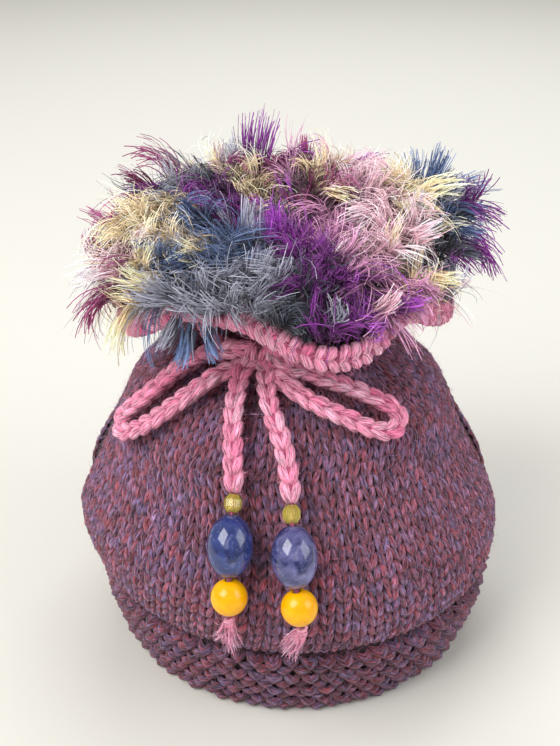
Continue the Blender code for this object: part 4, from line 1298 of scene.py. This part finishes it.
def layer_locks(rng, table, usual, width, spacing, fibres, longest, painted_light):
    """Locks on a jittered grid over the whole frill, which lean out towards its rim."""
    x, y = scattered(rng, spacing, 58.0)
    x = x - 4.0 * blend(20.0, 50.0, -x)
    away = np.hypot(x, y)
    out = np.stack([x, y, 0.0 * x], axis=-1) / np.maximum(away, 4.0)[:, None]
    pushed = bared(np.degrees(np.arctan2(x, -y))) * blend(36.0, 48.0, away)
    lean = (blend(6.0, 52.0, away) * (1.0 - 0.8 * pushed))[:, None]
    swirl = np.array([noise.noise_vector(Vector((0.05 * a, 0.05 * b, spacing))) for a, b in zip(x, y)])
    upward = UP * (1.0 - 0.8 * lean)
    aims = unit(out * (0.15 + lean) + upward + swirl + rng.normal(0.0, 0.3, (len(x), 3)))
    roots = np.stack([x, y, frill_top(x, y) - 1.5], axis=-1)
    reach = usual * longest * rng.uniform(0.6, 1.25, len(x)) * (1.0 - 0.35 * pushed)
    # The layer's brightness darkens the lower layers as painted shade deep in the fur and lightens the top
    # one a little.
    tones = patch_colour(x, y, table, rng, 2.2) * rng.normal(painted_light, 0.2 * painted_light, (len(x), 1))
    droop = 0.22 * (1.0 - pushed)
    return locks(roots, aims, reach, tones, fibres, width, rng, bend=(0.5, 2.4), droop=droop)


def rim_locks(rng, table, usual, width):
    """Locks round the rim: they hang over the edging, or stand clear of it where it shows."""
    azimuth = np.concatenate([np.arange(0.0, 360.0, 4.6) + shift for shift in (0.0, 2.3)])
    count = len(azimuth)
    azimuth = (azimuth + rng.normal(0.0, 0.8, count) + 180.0) % 360.0 - 180.0
    level = np.repeat([6, 5], count // 2)
    radius, height = frill_profile(azimuth)
    pick = np.arange(count)
    roots = turn(azimuth) * (radius[pick, level] - 2.0)[:, None]
    roots[:, 2] = height[pick, level] + 0.6
    bare = bared(azimuth)
    rise = np.where(level == 6, 0.45, 0.1) + 1.6 * bare
    aims = unit(turn(azimuth) + UP * rise[:, None] + rng.normal(0.0, 0.3, (count, 3)))
    left = np.maximum(0.0, -np.sin(np.radians(azimuth)))
    reach = usual * rng.uniform(0.55, 0.95, count) * (1.0 - 0.65 * bare) * (1.0 + 0.5 * left)
    tones = patch_colour(roots[:, 0], roots[:, 1], table, rng, 1.5) * rng.normal(1.0, 0.2, (count, 1))
    return locks(roots, aims, reach, tones, 18, width, rng, droop=0.5 * (1.0 - bare))


def tall_locks(rng, table, width):
    """The locks of TALL_LOCKS one third at a time, those that bend least first."""
    rows = np.array([row[:8] for row in TALL_LOCKS], dtype=float)
    roots, aims, reach, swing = rows[:, :3], unit(rows[:, 3:6]), rows[:, 6], rows[:, 7]
    tones = np.array([table[FRILL_NAMES.index(row[8])] for row in TALL_LOCKS])
    tones = tones * rng.normal(1.05, 0.1, (len(rows), 1))
    for part in np.array_split(np.argsort(swing), 3):
        bend = (swing[part].min(), swing[part].max() + 0.05)
        yield locks(
            roots[part], aims[part], reach[part], tones[part], 46, 1.25 * width, rng, bend=bend, droop=0.04,
            fan=0.1, girth=1.3, shortest=0.72,
        )


def stray_filaments(rng, table, usual, width):
    """Single long filaments over the whole frill."""
    x, y = scattered(rng, 3.1, 57.0)
    out = unit(np.stack([x, y, 20.0 + 0.0 * x], axis=-1))
    roots = np.stack([x, y, frill_top(x, y) - 1.0], axis=-1)
    aims = unit(out + rng.normal(0.0, 0.5, (len(x), 3)))
    tones = patch_colour(x, y, table, rng, 5.0) * rng.uniform(0.9, 1.4, (len(x), 1))
    reach = usual * rng.uniform(0.8, 1.5, len(x))
    return locks(roots, aims, reach, tones, 1, 0.75 * width, rng, bend=(0.6, 3.0))


def lash_piece(name, grown, material, rng, tip=0.35):
    """A piece of the filaments that locks gives."""
    path, shade, widths = grown
    ids = rng.random(len(path)) * 80.0
    return strand_piece(name, ribbons(path, widths, rng, tip), material, shade, ids, False)


class CosyFrillBuilder(bpy.types.Operator):
    """Fill the collar with a frill of multicoloured eyelash yarn"""

    bl_idname = "tea_cosy.frill"
    bl_label = "Eyelash Frill"

    def execute(self, context):
        colours = context.scene.cosy_colours
        usual = context.scene.cosy_sizes.lash_length / MM
        width = context.scene.cosy_sizes.lash_width / MM
        yarn = eyelash_yarn("polyester eyelash yarn, dyed in patches", 0.2)
        packed = eyelash_yarn("polyester eyelash yarn, packed inside the collar", 0.0)
        table = np.array([tuple(getattr(colours, "frill_" + name)) for name in FRILL_NAMES])
        rng = np.random.default_rng(51)
        noise.seed_set(51)
        pieces = [frill_bed(rng, table, packed)]
        for name, *layer in FRILL_LAYERS:
            pieces.append(lash_piece(name, layer_locks(rng, table, usual, width, *layer), yarn, rng))
        pieces.append(lash_piece("frill_rim", rim_locks(rng, table, usual, width), yarn, rng))
        for i, grown in enumerate(tall_locks(rng, table, width)):
            pieces.append(lash_piece("frill_tall_%d" % (i + 1), grown, yarn, rng, tip=0.6))
        pieces.append(lash_piece("frill_strays", stray_filaments(rng, table, usual, width), yarn, rng))
        dress(pieces, "eyelash_frill", "eyelash_yarn")
        return {"FINISHED"}


def soft_light(name, place, target, size, power, colour):
    """A square lamp this many metres wide that faces its target."""
    data = bpy.data.lights.new(name, "AREA")
    data.shape = "SQUARE"
    data.size = size
    data.energy = power
    data.color = colour
    lamp = bpy.data.objects.new(name, data)
    lamp.location = place
    lamp.rotation_euler = (Vector(target) - Vector(place)).to_track_quat("-Z", "Y").to_euler()
    bpy.context.scene.collection.objects.link(lamp)


class CosyStageBuilder(bpy.types.Operator):
    """Set the camera, a plain pale floor and soft studio lights"""

    bl_idname = "tea_cosy.stage"
    bl_label = "Stage"

    def execute(self, context):
        scene = context.scene
        data = bpy.data.cameras.new("camera")
        data.sensor_fit = "HORIZONTAL"
        data.sensor_width = 36.0
        data.lens = FOCAL_WIDTHS * 36.0
        data.clip_start = 0.02
        data.clip_end = 20.0
        camera = bpy.data.objects.new("camera", data)
        camera.location = CAMERA_PLACE
        camera.rotation_euler = (math.radians(CAMERA_TILT), 0.0, 0.0)
        scene.collection.objects.link(camera)
        scene.camera = camera
        mesh = bpy.data.meshes.new("floor")
        corners = [(-4.0, -3.0, 0.0), (4.0, -3.0, 0.0), (4.0, 6.0, 0.0), (-4.0, 6.0, 0.0)]
        mesh.from_pydata(corners, [], [(0, 1, 2, 3)])
        mesh.materials.append(painted_floor("matt white paint, rolled", tuple(scene.cosy_colours.floor)))
        floor = bpy.data.objects.new("floor", mesh)
        scene.collection.objects.link(floor)
        for lamp in LIGHTS:
            soft_light(*lamp)
        world = bpy.data.worlds.new("studio")
        world.use_nodes = True
        background = world.node_tree.nodes["Background"]
        background.inputs["Color"].default_value = (*linear("#eceae6"), 1.0)
        background.inputs["Strength"].default_value = 0.55
        scene.world = world
        scene.view_settings.view_transform = "Standard"
        return {"FINISHED"}


STEPS = (
    CosyStageBuilder, CosyBowBuilder, CosyBeadBuilder, CosyBodyBuilder, CosyEdgingBuilder, CosyFrillBuilder,
)


class CosyPanel(bpy.types.Panel):
    bl_label = "Tea Cosy"
    bl_idname = "VIEW3D_PT_tea_cosy"
    bl_space_type = "VIEW_3D"
    bl_region_type = "UI"
    bl_category = "Tea Cosy"

    def draw(self, context):
        layout = self.layout
        for step in STEPS:
            layout.operator(step.bl_idname)
        for group in (context.scene.cosy_sizes, context.scene.cosy_colours):
            box = layout.box()
            for name in group.bl_rna.properties.keys():
                if name not in ("rna_type", "name"):
                    box.prop(group, name)


CLASSES = (CosySizes, CosyColours, *STEPS, CosyPanel)


def register():
    for cls in CLASSES:
        bpy.utils.register_class(cls)
    bpy.types.Scene.cosy_sizes = bpy.props.PointerProperty(type=CosySizes)
    bpy.types.Scene.cosy_colours = bpy.props.PointerProperty(type=CosyColours)


def unregister():
    del bpy.types.Scene.cosy_colours
    del bpy.types.Scene.cosy_sizes
    for cls in reversed(CLASSES):
        bpy.utils.unregister_class(cls)


def main():
    register()
    bpy.ops.tea_cosy.stage()
    bpy.ops.tea_cosy.bow()
    bpy.ops.tea_cosy.beads()
    bpy.ops.tea_cosy.body()
    bpy.ops.tea_cosy.edging()
    bpy.ops.tea_cosy.frill()
    bpy.context.view_layer.update()


if __name__ == "__main__":
    main()
